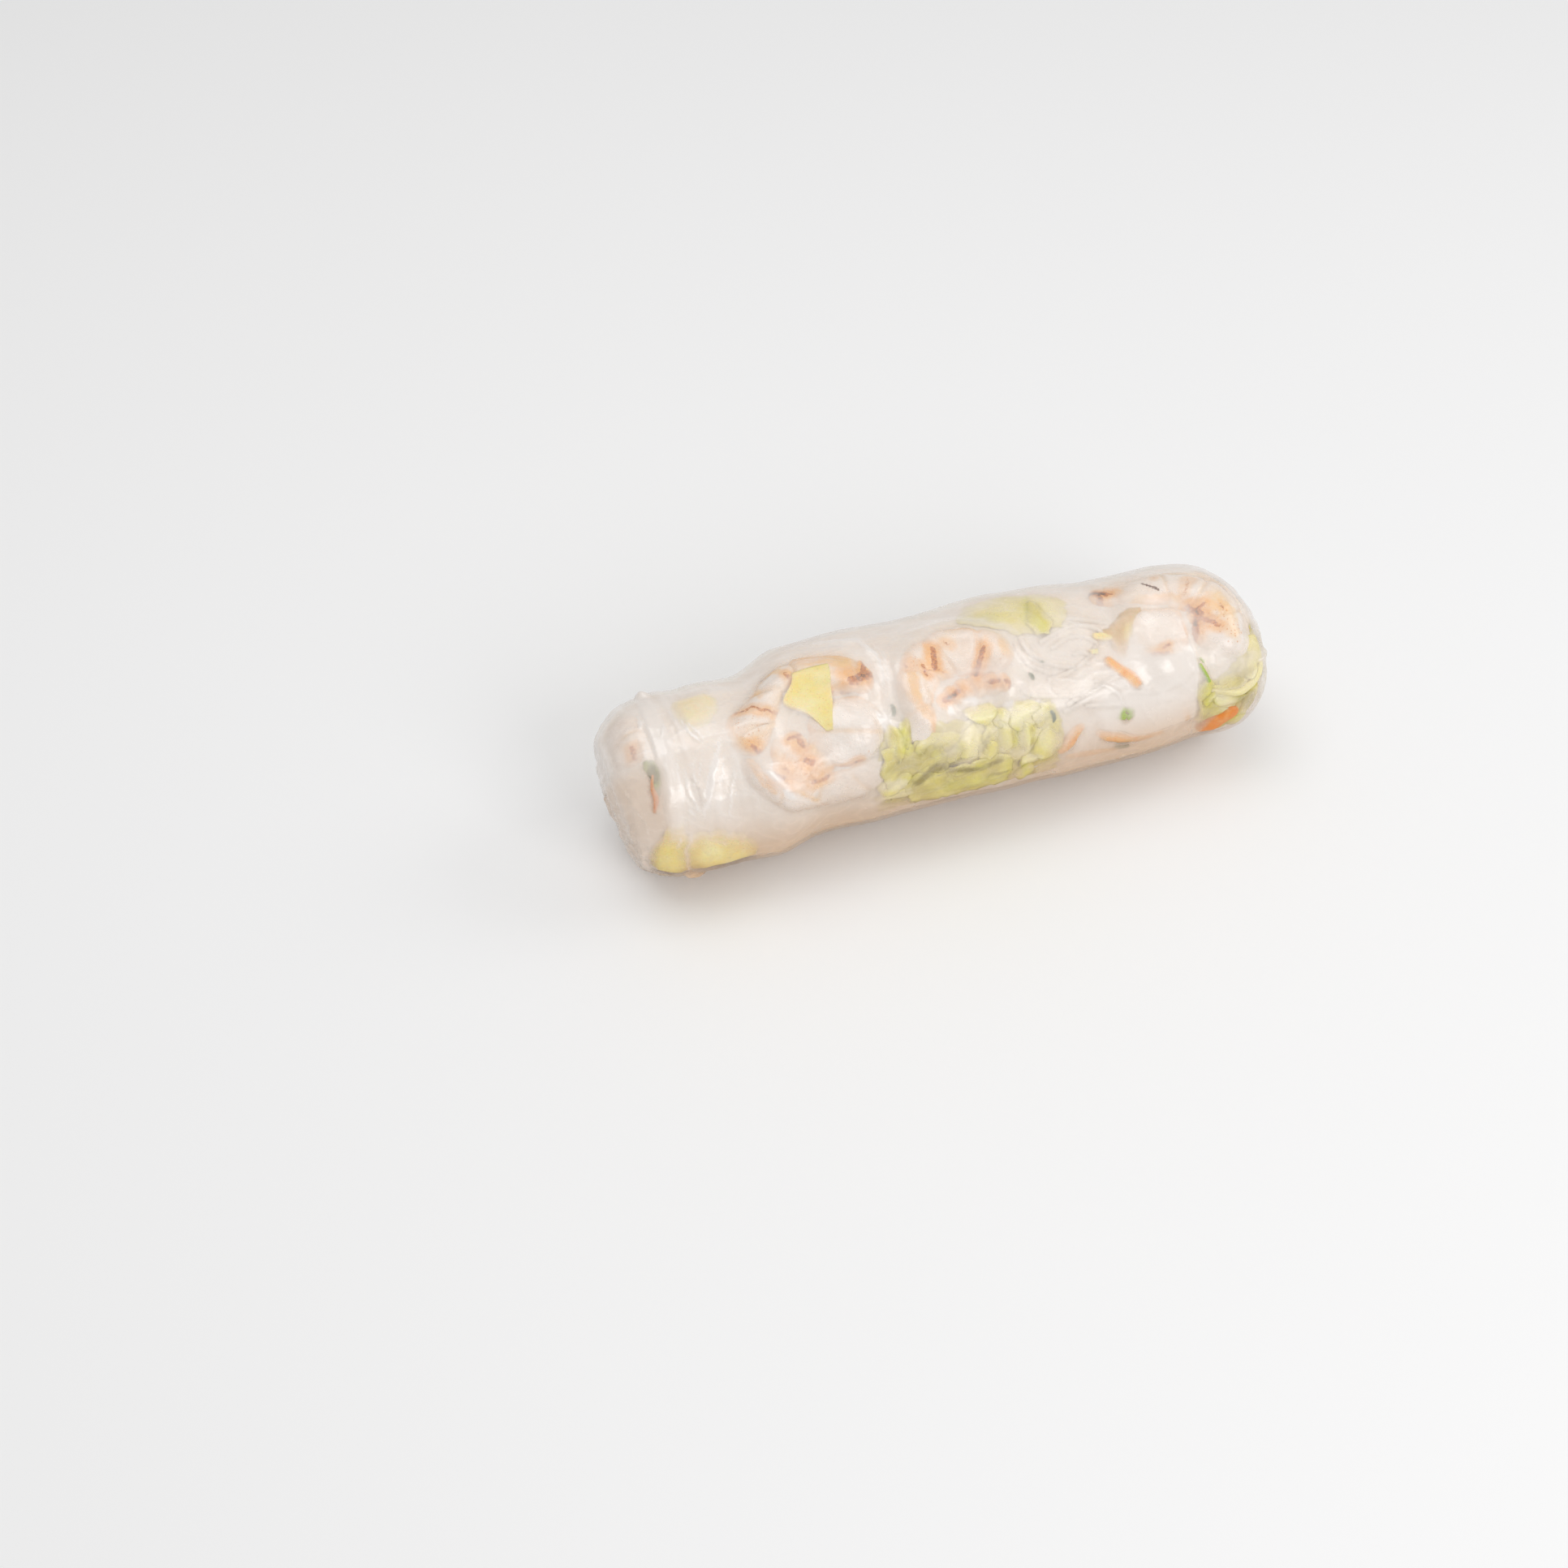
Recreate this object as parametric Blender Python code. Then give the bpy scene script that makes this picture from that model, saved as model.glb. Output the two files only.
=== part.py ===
"""A rice paper roll: softened rice paper wound round shrimps, leaves and noodles, with its ends tucked in.

Metres, +Z up. X runs along the roll, the front is -Y, and the origin is the middle of the face it rests on.
Angles round the roll start at the front and rise over the top: 0 front, 90 top, 180 back, 270 underneath.
The paper seals the filling in on every side, so the roll is one solid out to the paper's own surface.
"""

import math

import bmesh
import bpy
from mathutils import Vector, noise

MM = 0.001

# The whole roll
RADIUS = 20.2 * MM
SAG = 0.012  # how much wider than tall the section is, as a share of its radius
FLAT_DEPTH = 0.7 * MM  # how far the soft base is pressed flat

# Girth and sideways wander along the roll, in mm: place, added radius, shift towards the back
STATIONS = [
    (-76, -1.4, 0.4),
    (-66, -1.0, 0.0),
    (-54, -0.3, -0.6),
    (-45, -0.6, -1.8),
    (-33, 0.2, 1.3),
    (-18, 0.7, 0.8),
    (-3, 0.4, 0.4),
    (12, 0.7, 0.3),
    (24, 0.6, -0.6),
    (38, -0.2, -1.4),
    (52, -0.6, -0.8),
    (62, -0.8, -1.8),
    (72, -1.4, -3.0),
]

# The tucked ends, in mm and degrees: distance from the middle, how far the face slants out and towards which side,
# smallest rounding of its edge, what the roundest side adds and which side that is, and how far its middle stands out
LEFT_END = {"reach": 76.3, "slant": 1.4, "slant_to": 80, "edge": 9.5, "rounder": 1.0, "rounder_at": 125, "dome": 1.2}
RIGHT_END = {"reach": 69.7, "slant": 1.4, "slant_to": 65, "edge": 9.0, "rounder": 2.5, "rounder_at": 130, "dome": 1.2}

# Shrimps curled under the last turn of the paper, in mm and degrees: middle of the curl along and round the roll,
# radius of the curl at tail and head, where the curl starts and ends, half width at tail and head, and lift
SHRIMPS = {
    "wide": (-34.5, 60, 12.5, 10.0, 18, 330, 3.6, 6.6, 1.6),
    "middle": (-0.5, 66, 10.5, 11.5, -35, 228, 3.6, 4.6, 1.4),
    "end": (51.0, 68, 11.5, 10.0, 165, -120, 4.0, 6.0, 1.5),
}

# Soft swells and hollows in the paper: along the roll in mm, angle, half length in mm, half width in degrees, height
LUMPS = {
    "tuck_ridge": (-62.8, 134, 1.7, 15, 1.2),
    "hollow_behind_ridge": (-56.0, 130, 5.0, 24, -0.7),
    "groove_wide_middle": (-17.5, 62, 2.0, 42, -1.0),
    "hollow_in_middle_curl": (-0.5, 52, 4.0, 10, -0.7),
    "groove_middle_end": (20.0, 66, 5.5, 34, -0.9),
    "noodle_swell": (27.0, 70, 6.0, 18, 0.5),
    "leaf_swell_front": (2.0, 8, 17.0, 22, 0.8),
    "leaf_fold_top": (17.0, 98, 7.0, 12, 0.8),
    "leaf_swell_end": (61.0, 12, 7.0, 24, 0.8),
    "notch_above_leaf": (65.5, 62, 2.0, 18, -2.0),
    "egg_corner": (-60.0, -16, 9.0, 20, 0.9),
    "dent_front_left": (-55.0, 24, 5.0, 30, -0.7),
    "dent_front_right": (30.0, 4, 9.0, 20, -0.6),
    "back_leaf_left": (-42.0, 182, 18.0, 28, 0.7),
    "back_dent": (-12.0, 196, 8.0, 30, -0.8),
    "back_leaf_right": (22.0, 176, 16.0, 28, 0.8),
    "back_dent_end": (49.0, 200, 6.0, 28, -0.8),
}

# Edges of the paper that show as low steps
FLAP_EDGE = 51 * MM  # the side flap that was folded in first ends here
FLAP_STEP = 0.4 * MM
SEAM_ANGLE = 212  # the loose edge of the last turn, low on the back
SEAM_STEP = 0.9 * MM

# The tucked ends wind inwards as a spiral of overlapping layers
SPIRAL_PITCH = 7.0 * MM
SPIRAL_STEP = 1.0 * MM

# Unevenness of the hand-rolled surface
RIPPLE = 0.45 * MM
RIPPLE_SCALE = 1 / (11 * MM)

# Mesh rows over an end face, round its edge and along the body, and columns round the roll
END_ROWS = 7
EDGE_ROWS = 8
BODY_ROWS = 50
COLUMNS = 62
ROWS = 2 * END_ROWS + 2 * EDGE_ROWS + BODY_ROWS

PAPER_COLOUR = (0.86, 0.80, 0.73, 1.0)


def smooth_step(low, high, value):
    """0 below low, 1 above high, and an S-curve between."""
    t = min(max((value - low) / (high - low), 0.0), 1.0)
    return t * t * (3 - 2 * t)


def turned(degrees, centre):
    """The angle from centre to degrees, from -180 to 180."""
    return (degrees - centre + 180) % 360 - 180


def girth_and_shift(x):
    """Added radius and shift towards the back at x, eased from station to station."""
    place = min(max(x / MM, STATIONS[0][0]), STATIONS[-1][0])
    before, after = next(pair for pair in zip(STATIONS, STATIONS[1:]) if place <= pair[1][0])
    t = smooth_step(before[0], after[0], place)
    return [(a + (b - a) * t) * MM for a, b in zip(before[1:], after[1:])]


def shrimp_lift(x, degrees, shrimp):
    """How far a curled shrimp lifts the paper: most over the middle of its body, less near its tail."""
    centre_x, centre_angle, tail_curl, head_curl, first, last, tail_half, head_half, lift = shrimp
    along = x / MM - centre_x
    upward = math.radians(turned(degrees, centre_angle)) * RADIUS / MM
    reach = math.hypot(along, upward)
    heading = math.degrees(math.atan2(upward, along))
    sweep = last - first
    best = 0.0
    for turn in (-360, 0, 360):
        share = (heading + turn - first) / sweep
        held = min(max(share, 0.0), 1.0)
        curl = tail_curl + (head_curl - tail_curl) * held
        half = tail_half + (head_half - tail_half) * math.sin(held * math.pi / 2)
        beyond = math.radians(abs((share - held) * sweep)) * curl
        gap = math.hypot(reach - curl, beyond) / (half * 1.15)
        segments = 1 + 0.1 * math.cos(held * 14 * math.pi)
        best = max(best, (1 - smooth_step(0.3, 1.0, gap)) * segments)
    return best * lift * MM


def lump_lift(x, degrees, lump):
    """A soft swell or hollow."""
    centre_x, centre_angle, half_length, half_width, height = lump
    along = (x / MM - centre_x) / half_length
    round_it = turned(degrees, centre_angle) / half_width
    return height * MM * math.exp(-(along * along + round_it * round_it))


def paper_edges(x, degrees):
    """The low steps at the folded side flap and at the loose edge of the last turn."""
    facing = turned(degrees, 5)
    on_front = smooth_step(-70, -45, facing) * (1 - smooth_step(65, 90, facing))
    flap = FLAP_STEP * on_front * (smooth_step(-0.8 * MM, 0.8 * MM, FLAP_EDGE - x) - 0.5)
    waver = 4 * math.sin(x / (13 * MM)) + 2.5 * math.sin(x / (5.3 * MM) + 1)
    past_seam = turned(degrees, SEAM_ANGLE + waver)
    seam = SEAM_STEP * smooth_step(-2, 4, past_seam) * (1 - smooth_step(4, 150, past_seam))
    return flap + seam


def ripple(x, degrees):
    """Slow and finer waviness of the surface."""
    turn = math.radians(degrees)
    spot = Vector((x * 0.8, math.cos(turn) * RADIUS, math.sin(turn) * RADIUS))
    return RIPPLE * (noise.noise(spot * RIPPLE_SCALE) + 0.5 * noise.noise(spot * RIPPLE_SCALE * 2.4))


def section_radius(x, degrees):
    """The distance from the roll's own axis to the paper; the strip it rests on stays plain."""
    radius = RADIUS * (1 + SAG * math.cos(math.radians(2 * degrees))) + girth_and_shift(x)[0]
    relief = sum(shrimp_lift(x, degrees, shrimp) for shrimp in SHRIMPS.values())
    relief += sum(lump_lift(x, degrees, lump) for lump in LUMPS.values())
    relief += ripple(x, degrees) + paper_edges(x, degrees)
    return radius + relief * smooth_step(15, 50, abs(turned(degrees, 270)))


def end_shape(end, degrees):
    """How far out the face reaches on this side of the roll, and how round its edge is there."""
    reach = end["reach"] + end["slant"] * math.cos(math.radians(degrees - end["slant_to"]))
    edge = end["edge"] + end["rounder"] * 0.5 * (1 + math.cos(math.radians(degrees - end["rounder_at"])))
    return reach * MM, edge * MM


def end_relief(share, side, degrees):
    """The wound-in layers stand out as a spiral of steps, lost at the middle and round the edge."""
    layer = (share * RADIUS / SPIRAL_PITCH - side * degrees / 360) % 1.0
    rise = smooth_step(0.0, 0.2, layer) * (1 - smooth_step(0.2, 1.0, layer))
    fade = smooth_step(0.08, 0.25, share) * (1 - smooth_step(0.75, 0.97, share))
    return SPIRAL_STEP * (rise - 0.4) * fade


def row_place(row, side, degrees):
    """Where a row lies, counted from the end's middle: x, and the share of the full radius."""
    end = LEFT_END if side < 0 else RIGHT_END
    reach, edge = end_shape(end, degrees)
    face = 1 - edge / RADIUS
    if row < END_ROWS:
        share = row / END_ROWS * face
        x = reach
    elif row < END_ROWS + EDGE_ROWS:
        bend = (row - END_ROWS) / EDGE_ROWS * math.pi / 2
        share = 1 - edge / RADIUS * (1 - math.sin(bend))
        x = reach - edge * (1 - math.cos(bend))
    else:
        share = 1.0
        x = (reach - edge) * (1 - (row - END_ROWS - EDGE_ROWS) / (BODY_ROWS / 2))
    pole = (end["reach"] + end["dome"]) * MM
    x += (pole - reach) * (1 - smooth_step(0.0, face, share))
    return side * (x + end_relief(share, side, degrees)), share


def paper_point(row, degrees):
    """The point of the paper's surface at this row and angle."""
    side = -1 if row < ROWS / 2 else 1
    x, share = row_place(min(row, ROWS - row), side, degrees)
    added, shift = girth_and_shift(x)
    axis_height = RADIUS * (1 - SAG) + added
    radius = section_radius(x, degrees) * share
    turn = math.radians(degrees)
    return Vector((x, shift - radius * math.cos(turn), axis_height + radius * math.sin(turn)))


def press_flat(shape, height):
    """Cuts the underside off at this height and closes it with one flat face."""
    cut = bmesh.ops.bisect_plane(
        shape,
        geom=shape.verts[:] + shape.edges[:] + shape.faces[:],
        dist=1e-6,
        plane_co=(0, 0, height),
        plane_no=(0, 0, -1),
        clear_outer=True,
    )
    rim = [item for item in cut["geom_cut"] if isinstance(item, bmesh.types.BMEdge)]
    bmesh.ops.contextual_create(shape, geom=rim)


def make_roll():
    """Shapes a sphere's rows and columns into the roll, and stands it on its pressed base."""
    shape = bmesh.new()
    bmesh.ops.create_uvsphere(shape, u_segments=COLUMNS, v_segments=ROWS, radius=1.0)
    for vertex in shape.verts:
        row = math.acos(min(max(-vertex.co.z, -1.0), 1.0)) / math.pi * ROWS
        degrees = math.degrees(math.atan2(vertex.co.y, vertex.co.x))
        vertex.co = paper_point(round(row), degrees)
    press_flat(shape, FLAT_DEPTH)
    bmesh.ops.recalc_face_normals(shape, faces=shape.faces[:])
    lowest, highest = (
        Vector([pick(vertex.co[axis] for vertex in shape.verts) for axis in range(3)]) for pick in (min, max)
    )
    foot = Vector(((lowest.x + highest.x) / 2, (lowest.y + highest.y) / 2, lowest.z))
    bmesh.ops.translate(shape, verts=shape.verts[:], vec=-foot)
    mesh = bpy.data.meshes.new("rice_paper_roll")
    shape.to_mesh(mesh)
    shape.free()
    return bpy.data.objects.new("rice_paper_roll", mesh)


def paper_material():
    """Moist, milky rice paper."""
    material = bpy.data.materials.new("moist_rice_paper")
    material.use_nodes = True
    shader = material.node_tree.nodes["Principled BSDF"]
    shader.inputs["Base Color"].default_value = PAPER_COLOUR
    shader.inputs["Roughness"].default_value = 0.35
    shader.inputs["Metallic"].default_value = 0.0
    return material


def main():
    for thing in list(bpy.data.objects):
        bpy.data.objects.remove(thing)
    parts = bpy.data.collections.new("rice_paper_roll")
    bpy.context.scene.collection.children.link(parts)
    roll = make_roll()
    roll.data.materials.append(paper_material())
    roll.data.shade_smooth()
    parts.objects.link(roll)


main()
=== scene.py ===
import math

import bmesh
import bpy
import numpy as np
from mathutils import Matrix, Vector, noise
from mathutils.bvhtree import BVHTree


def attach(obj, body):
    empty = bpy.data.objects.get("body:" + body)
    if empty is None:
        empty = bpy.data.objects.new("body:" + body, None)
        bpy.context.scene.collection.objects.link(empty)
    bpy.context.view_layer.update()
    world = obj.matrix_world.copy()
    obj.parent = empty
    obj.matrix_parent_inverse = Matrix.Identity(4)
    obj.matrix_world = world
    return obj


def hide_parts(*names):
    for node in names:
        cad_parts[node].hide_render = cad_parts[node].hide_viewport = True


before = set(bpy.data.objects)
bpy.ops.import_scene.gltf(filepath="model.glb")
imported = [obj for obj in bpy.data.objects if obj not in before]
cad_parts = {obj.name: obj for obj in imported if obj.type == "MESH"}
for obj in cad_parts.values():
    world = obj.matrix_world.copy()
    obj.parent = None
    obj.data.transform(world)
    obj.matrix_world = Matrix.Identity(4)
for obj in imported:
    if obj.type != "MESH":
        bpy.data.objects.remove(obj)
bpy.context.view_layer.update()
scene = bpy.context.scene
mm = 0.001

# Places on the roll are given as mm along it and degrees round it: 0 front, 90 top, 180 back, -90 underneath.
# Past the straight part the first number goes on round the end, up to the end's middle.
rollForm = {
    "node": "rice_paper_roll",
    "straightHalf": 55.0,
    "endArc": 20.0,
    "axisHeight": 20.0,
    "rows": 289,
    "columns": 360,
    "soften": 1.3,
    "arcPerDegree": 0.3595,
    "wrapBelow": -130.0,
}
arcPerDegree = rollForm["arcPerDegree"]
lastAlong = rollForm["straightHalf"] + rollForm["endArc"] * math.pi / 2


def smoothStep(low, high, value):
    t = np.clip((value - low) / (high - low), 0.0, 1.0)
    return t * t * (3 - 2 * t)


def softened(grid, rowSigma, columnSigma):  # blurs a table that closes round its columns
    for sigma, axis in ((rowSigma, 0), (columnSigma, 1)):
        if sigma <= 0:
            continue
        reach = int(math.ceil(sigma * 3))
        weights = np.exp(-0.5 * (np.arange(-reach, reach + 1) / sigma) ** 2)
        weights /= weights.sum()
        pad = [(0, 0), (0, 0)]
        pad[axis] = (reach, reach)
        wide = np.pad(grid, pad, "wrap" if axis else "edge")
        size = grid.shape[axis]
        grid = sum(w * np.take(wide, range(k, k + size), axis) for k, w in enumerate(weights))
    return grid


def unevenness(points, size, shift=0.0):  # smooth noise between about -1 and 1 at points in mm
    move = Vector((shift, shift * 0.7, -shift * 0.4))
    return np.array([noise.noise(Vector(p) / size + move) for p in points])


def measureRoll():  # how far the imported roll's surface stands from its own axis, all over
    merged = bmesh.new()
    merged.from_mesh(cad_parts[rollForm["node"]].data)
    bmesh.ops.remove_doubles(merged, verts=merged.verts, dist=1e-6)
    tree = BVHTree.FromBMesh(merged)
    merged.free()
    half, high = rollForm["straightHalf"], rollForm["axisHeight"]
    places = np.linspace(-half, half, 111)
    middles = []
    for x in places:
        start = Vector((x, 0, high)) * mm
        front = tree.ray_cast(start, Vector((0, -1, 0)))[0]
        back = tree.ray_cast(start, Vector((0, 1, 0)))[0]
        middles.append((front.y + back.y) / 2 / mm)
    middles = np.convolve(np.pad(middles, 4, "edge"), np.ones(9) / 9, "valid")
    table = np.zeros((rollForm["rows"], rollForm["columns"]))
    for row, along in enumerate(np.linspace(-lastAlong, lastAlong, rollForm["rows"])):
        straight = min(max(along, -half), half)
        tilt = (along - straight) / rollForm["endArc"]
        start = Vector((straight, np.interp(straight, places, middles), high)) * mm
        for column in range(rollForm["columns"]):
            turn = math.radians(column)
            out = math.cos(tilt)
            way = Vector((math.sin(tilt), -math.cos(turn) * out, math.sin(turn) * out))
            table[row, column] = tree.ray_cast(start, way)[3] / mm
    return places, middles, softened(table, rollForm["soften"], rollForm["soften"] * 1.4)


axisPlaces, axisMiddles, reachTable = measureRoll()
print("roll measured", reachTable.shape)


def lookUp(table, along, degrees):
    row = (along + lastAlong) / (2 * lastAlong) * (table.shape[0] - 1)
    low = np.clip(np.floor(row).astype(int), 0, table.shape[0] - 2)
    up = np.clip(row - low, 0, 1)
    column = (degrees % 360) / 360 * table.shape[1]
    left = np.floor(column).astype(int) % table.shape[1]
    over = column - np.floor(column)
    right = (left + 1) % table.shape[1]
    below = table[low, left] * (1 - over) + table[low, right] * over
    above = table[low + 1, left] * (1 - over) + table[low + 1, right] * over
    return below * (1 - up) + above * up


def onRoll(along, degrees, depth):  # points this deep under the paper, in mm
    along, degrees, depth = np.broadcast_arrays(np.asarray(along, float), degrees, depth)
    straight = np.clip(along, -rollForm["straightHalf"], rollForm["straightHalf"])
    tilt = (along - straight) / rollForm["endArc"]
    turn = np.radians(degrees)
    reach = lookUp(reachTable, along, degrees) - depth
    x = straight + reach * np.sin(tilt)
    y = np.interp(straight, axisPlaces, axisMiddles) - reach * np.cos(tilt) * np.cos(turn)
    z = rollForm["axisHeight"] + reach * np.cos(tilt) * np.sin(turn)
    return np.stack([x, y, z], axis=1)


def smoothPath(stations, count=200):  # an even, smooth run of rows through the given ones
    known = np.array(stations, float)
    known[:, 1] *= arcPerDegree
    if len(known) > 2:
        known = np.vstack([2 * known[0] - known[1], known, 2 * known[-1] - known[-2]])
        rows = []
        for a, b, c, d in zip(known, known[1:], known[2:], known[3:]):
            for t in np.linspace(0, 1, 24, endpoint=False):
                rows.append(
                    0.5 * (2 * b + (c - a) * t + (2 * a - 5 * b + 4 * c - d) * t * t + (3 * b - a - 3 * c + d) * t**3)
                )
        known = np.vstack([rows, known[-2]])
    gone = np.concatenate([[0], np.cumsum(np.hypot(*np.diff(known[:, :2], axis=0).T))])
    even = np.linspace(0, gone[-1], count)
    return np.stack([np.interp(even, gone, column) for column in known.T], axis=1), gone[-1]


def strokeMask(along, arc, path, width, soft=0.35, taper=False):  # 1 on a stroke over the roll, 0 away from it
    corners = [(x, degrees * arcPerDegree) for x, degrees in path]
    corners = corners * 2 if len(corners) == 1 else corners
    best, at = np.full(len(along), 1e9), np.zeros(len(along))
    for number, ((ax, ay), (bx, by)) in enumerate(zip(corners, corners[1:])):
        dx, dy = bx - ax, by - ay
        t = np.clip(((along - ax) * dx + (arc - ay) * dy) / max(dx * dx + dy * dy, 1e-9), 0, 1)
        gone = np.hypot(along - ax - t * dx, arc - ay - t * dy)
        at = np.where(gone < best, (number + t) / (len(corners) - 1), at)
        best = np.minimum(best, gone)
    fade = np.sin(np.clip(at, 0.02, 0.98) * math.pi) ** 0.6 if taper else 1.0
    return (1 - smoothStep(width * soft, width, best / np.maximum(fade, 0.2))) * fade


def paintStrokes(along, arc, strokes, breakUp=None):
    paint = np.zeros(len(along))
    for path, width, strength in strokes:
        spread = width if breakUp is None else width * (1 + 0.5 * breakUp)
        paint = np.maximum(paint, strokeMask(along, arc, path, spread) * strength)
    return paint


def tone(red, green, blue):  # a colour named as on a paint card, 0 to 255, made linear
    return tuple((c / 255 / 12.92 if c <= 10 else ((c / 255 + 0.055) / 1.055) ** 2.4) for c in (red, green, blue)) + (1.0,)


class Wire:  # one value in a shader: sums and products of wires add their own Math nodes
    def __init__(self, finish, socket):
        self.finish = finish
        self.socket = socket

    def math(self, operation, first, second=0.0):
        return self.finish.add("ShaderNodeMath", {"operation": operation}, {0: first, 1: second})

    def __add__(self, other):
        return self.math("ADD", self, other)

    def __sub__(self, other):
        return self.math("SUBTRACT", self, other)

    def __mul__(self, other):
        return self.math("MULTIPLY", self, other)

    def __truediv__(self, other):
        return self.math("DIVIDE", self, other)

    def __pow__(self, other):
        return self.math("POWER", self, other)

    def __rsub__(self, other):
        return self.math("SUBTRACT", other, self)

    def __rtruediv__(self, other):
        return self.math("DIVIDE", other, self)

    __radd__ = __add__
    __rmul__ = __mul__

    def within(self, low, high):
        return self.math("MINIMUM", self.math("MAXIMUM", self, low), high)


class Finish:  # one material and the nodes that make it
    def __init__(self, name, **constants):
        self.material = bpy.data.materials.new(name)
        self.material.use_nodes = True
        self.tree = self.material.node_tree
        self.shader = self.tree.nodes["Principled BSDF"]
        for socket, value in constants.items():
            self.shader.inputs[socket.replace("_", " ")].default_value = value
        self.place = self.add("ShaderNodeTexCoord", {}, {}, 3)

    def add(self, kind, settings, sockets, output=0):
        node = self.tree.nodes.new(kind)
        for key, value in settings.items():
            if key == "stops":
                while len(node.color_ramp.elements) < len(value):
                    node.color_ramp.elements.new(0.5)
                for element, (position, colour) in zip(node.color_ramp.elements, value):
                    element.position, element.color = position, colour
            else:
                setattr(node, key, value)
        for key, value in sockets.items():
            if isinstance(value, Wire):
                self.tree.links.new(value.socket, node.inputs[key])
            else:
                node.inputs[key].default_value = value
        return Wire(self, node.outputs[output])

    def paint(self, name):
        return self.add("ShaderNodeAttribute", {"attribute_name": name}, {}, 2)

    def grain(self, size, detail=2.0, rough=0.5, stretch=None):
        place = self.place
        if stretch:
            place = self.add("ShaderNodeMapping", {}, {"Vector": place, "Scale": stretch})
        return self.add(
            "ShaderNodeTexNoise", {}, {"Vector": place, "Scale": 1 / (size * mm), "Detail": detail, "Roughness": rough}
        )

    def cells(self, size, feature="F1", output=0):
        return self.add(
            "ShaderNodeTexVoronoi", {"feature": feature}, {"Vector": self.place, "Scale": 1 / (size * mm)}, output
        )

    def between(self, value, low, high):  # 0 below low, 1 above high
        return self.add(
            "ShaderNodeMapRange",
            {"interpolation_type": "SMOOTHSTEP"},
            {"Value": value, "From Min": low, "From Max": high},
        )

    def blend(self, factor, first, second):
        return self.add("ShaderNodeMix", {"data_type": "RGBA"}, {0: factor, 6: first, 7: second}, 2)

    def bump(self, height, distance, strength=1.0):
        return self.add(
            "ShaderNodeBump", {}, {"Height": height, "Distance": distance * mm, "Strength": strength}
        )

    def wire(self, **sockets):
        for socket, value in sockets.items():
            self.tree.links.new(value.socket, self.shader.inputs[socket.replace("_", " ")])
        return self.material


def finishPiece(name, shape, points, paints, material, under=None):
    layers = {key: shape.verts.layers.float.new(key) for key in paints}
    sink = shape.verts.layers.float_vector.new("sink")
    for index, vertex in enumerate(shape.verts):
        vertex.co = Vector(points[index]) * mm
        for key, layer in layers.items():
            vertex[layer] = float(paints[key][index])
        if under is not None:
            vertex[sink] = (Vector(under[index]) - Vector(points[index])) * mm
    if under is not None:  # a sheet gets a second face below the first, and closed edges
        pulled = bmesh.ops.extrude_face_region(shape, geom=shape.faces[:], use_keep_orig=True)
        for item in pulled["geom"]:
            if isinstance(item, bmesh.types.BMVert):
                item.co += item[sink]
    shape.verts.layers.float_vector.remove(sink)
    bmesh.ops.recalc_face_normals(shape, faces=shape.faces[:])
    mesh = bpy.data.meshes.new(name)
    shape.to_mesh(mesh)
    shape.free()
    return showPiece(name, mesh, material)


def showPiece(name, mesh, material):
    mesh.materials.clear()
    mesh.materials.append(material)
    mesh.shade_smooth()
    piece = bpy.data.objects.new(name, mesh)
    scene.collection.objects.link(piece)
    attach(piece, "root")
    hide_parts(rollForm["node"])
    return piece


def vertexTable(shape):
    return np.array([vertex.co for vertex in shape.verts])


# ---- shrimps

shrimpLook = {
    "flesh": tone(246, 237, 229),
    "milky": tone(240, 229, 220),
    "blush": tone(248, 206, 142),
    "pink": tone(246, 209, 172),
    # painted shade: darker beige laid in the seams between the shell rings and along the lobe outlines
    "groove": tone(228, 204, 178),
    "amber": tone(243, 174, 68),
    "streak": tone(212, 128, 14),
    "rust": tone(166, 88, 12),
    "speck": tone(98, 54, 22),
    "fineGrain": 0.9,
}


def makeShrimpFinish():
    look = shrimpLook
    finish = Finish(
        "cooked_shrimp",
        Subsurface_Weight=0.1,
        Subsurface_Scale=0.0015,
        Subsurface_Radius=(1.0, 0.85, 0.7),
        Coat_Roughness=0.14,
        IOR=1.45,
    )
    coarse = finish.grain(4.0, 2.0)
    fine = finish.grain(look["fineGrain"], 3.0, 0.6)
    blush = finish.paint("blush")
    blush = (blush + (fine - 0.5) * 0.9 * blush + (coarse - 0.5) * 0.5 * (blush + 0.25)).within(0, 1)
    ragged = finish.grain(0.55, 3.0, 0.7)
    streak = finish.paint("streak")
    streak = finish.between(streak + (ragged - 0.5) * 2.2 * streak, 0.22, 0.62)
    speck = finish.paint("speck")
    speck = finish.between(speck + (ragged - 0.5) * 2.4 * speck, 0.4, 0.75)
    stipple = finish.between(finish.cells(0.8), 0.34, 0.14) * finish.between(finish.paint("stipple"), 0.1, 0.8)
    colour = finish.blend(finish.between(coarse, 0.35, 0.7), look["flesh"], look["milky"])
    # painted shade in the seams between rings and along the lobe outlines
    colour = finish.blend(finish.paint("groove"), colour, look["groove"])
    warm = finish.blend(finish.between(finish.grain(7.0), 0.4, 0.6), look["blush"], look["pink"])
    colour = finish.blend(blush, colour, warm)
    amber = finish.paint("amber")
    colour = finish.blend((amber + (fine - 0.5) * 0.8 * amber).within(0, 0.8), colour, look["amber"])
    colour = finish.blend(stipple * 0.55, colour, look["streak"])
    burnt = finish.blend(finish.between(ragged, 0.4, 0.65), look["streak"], look["rust"])
    colour = finish.blend(streak, colour, burnt)
    colour = finish.blend(speck, colour, look["speck"])
    relief = finish.bump(fine + coarse, 0.3, 0.5)
    return finish.wire(Base_Color=colour, Roughness=0.28 + fine * 0.15, Coat_Weight=0.5 + coarse * 0.4, Normal=relief)
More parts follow.
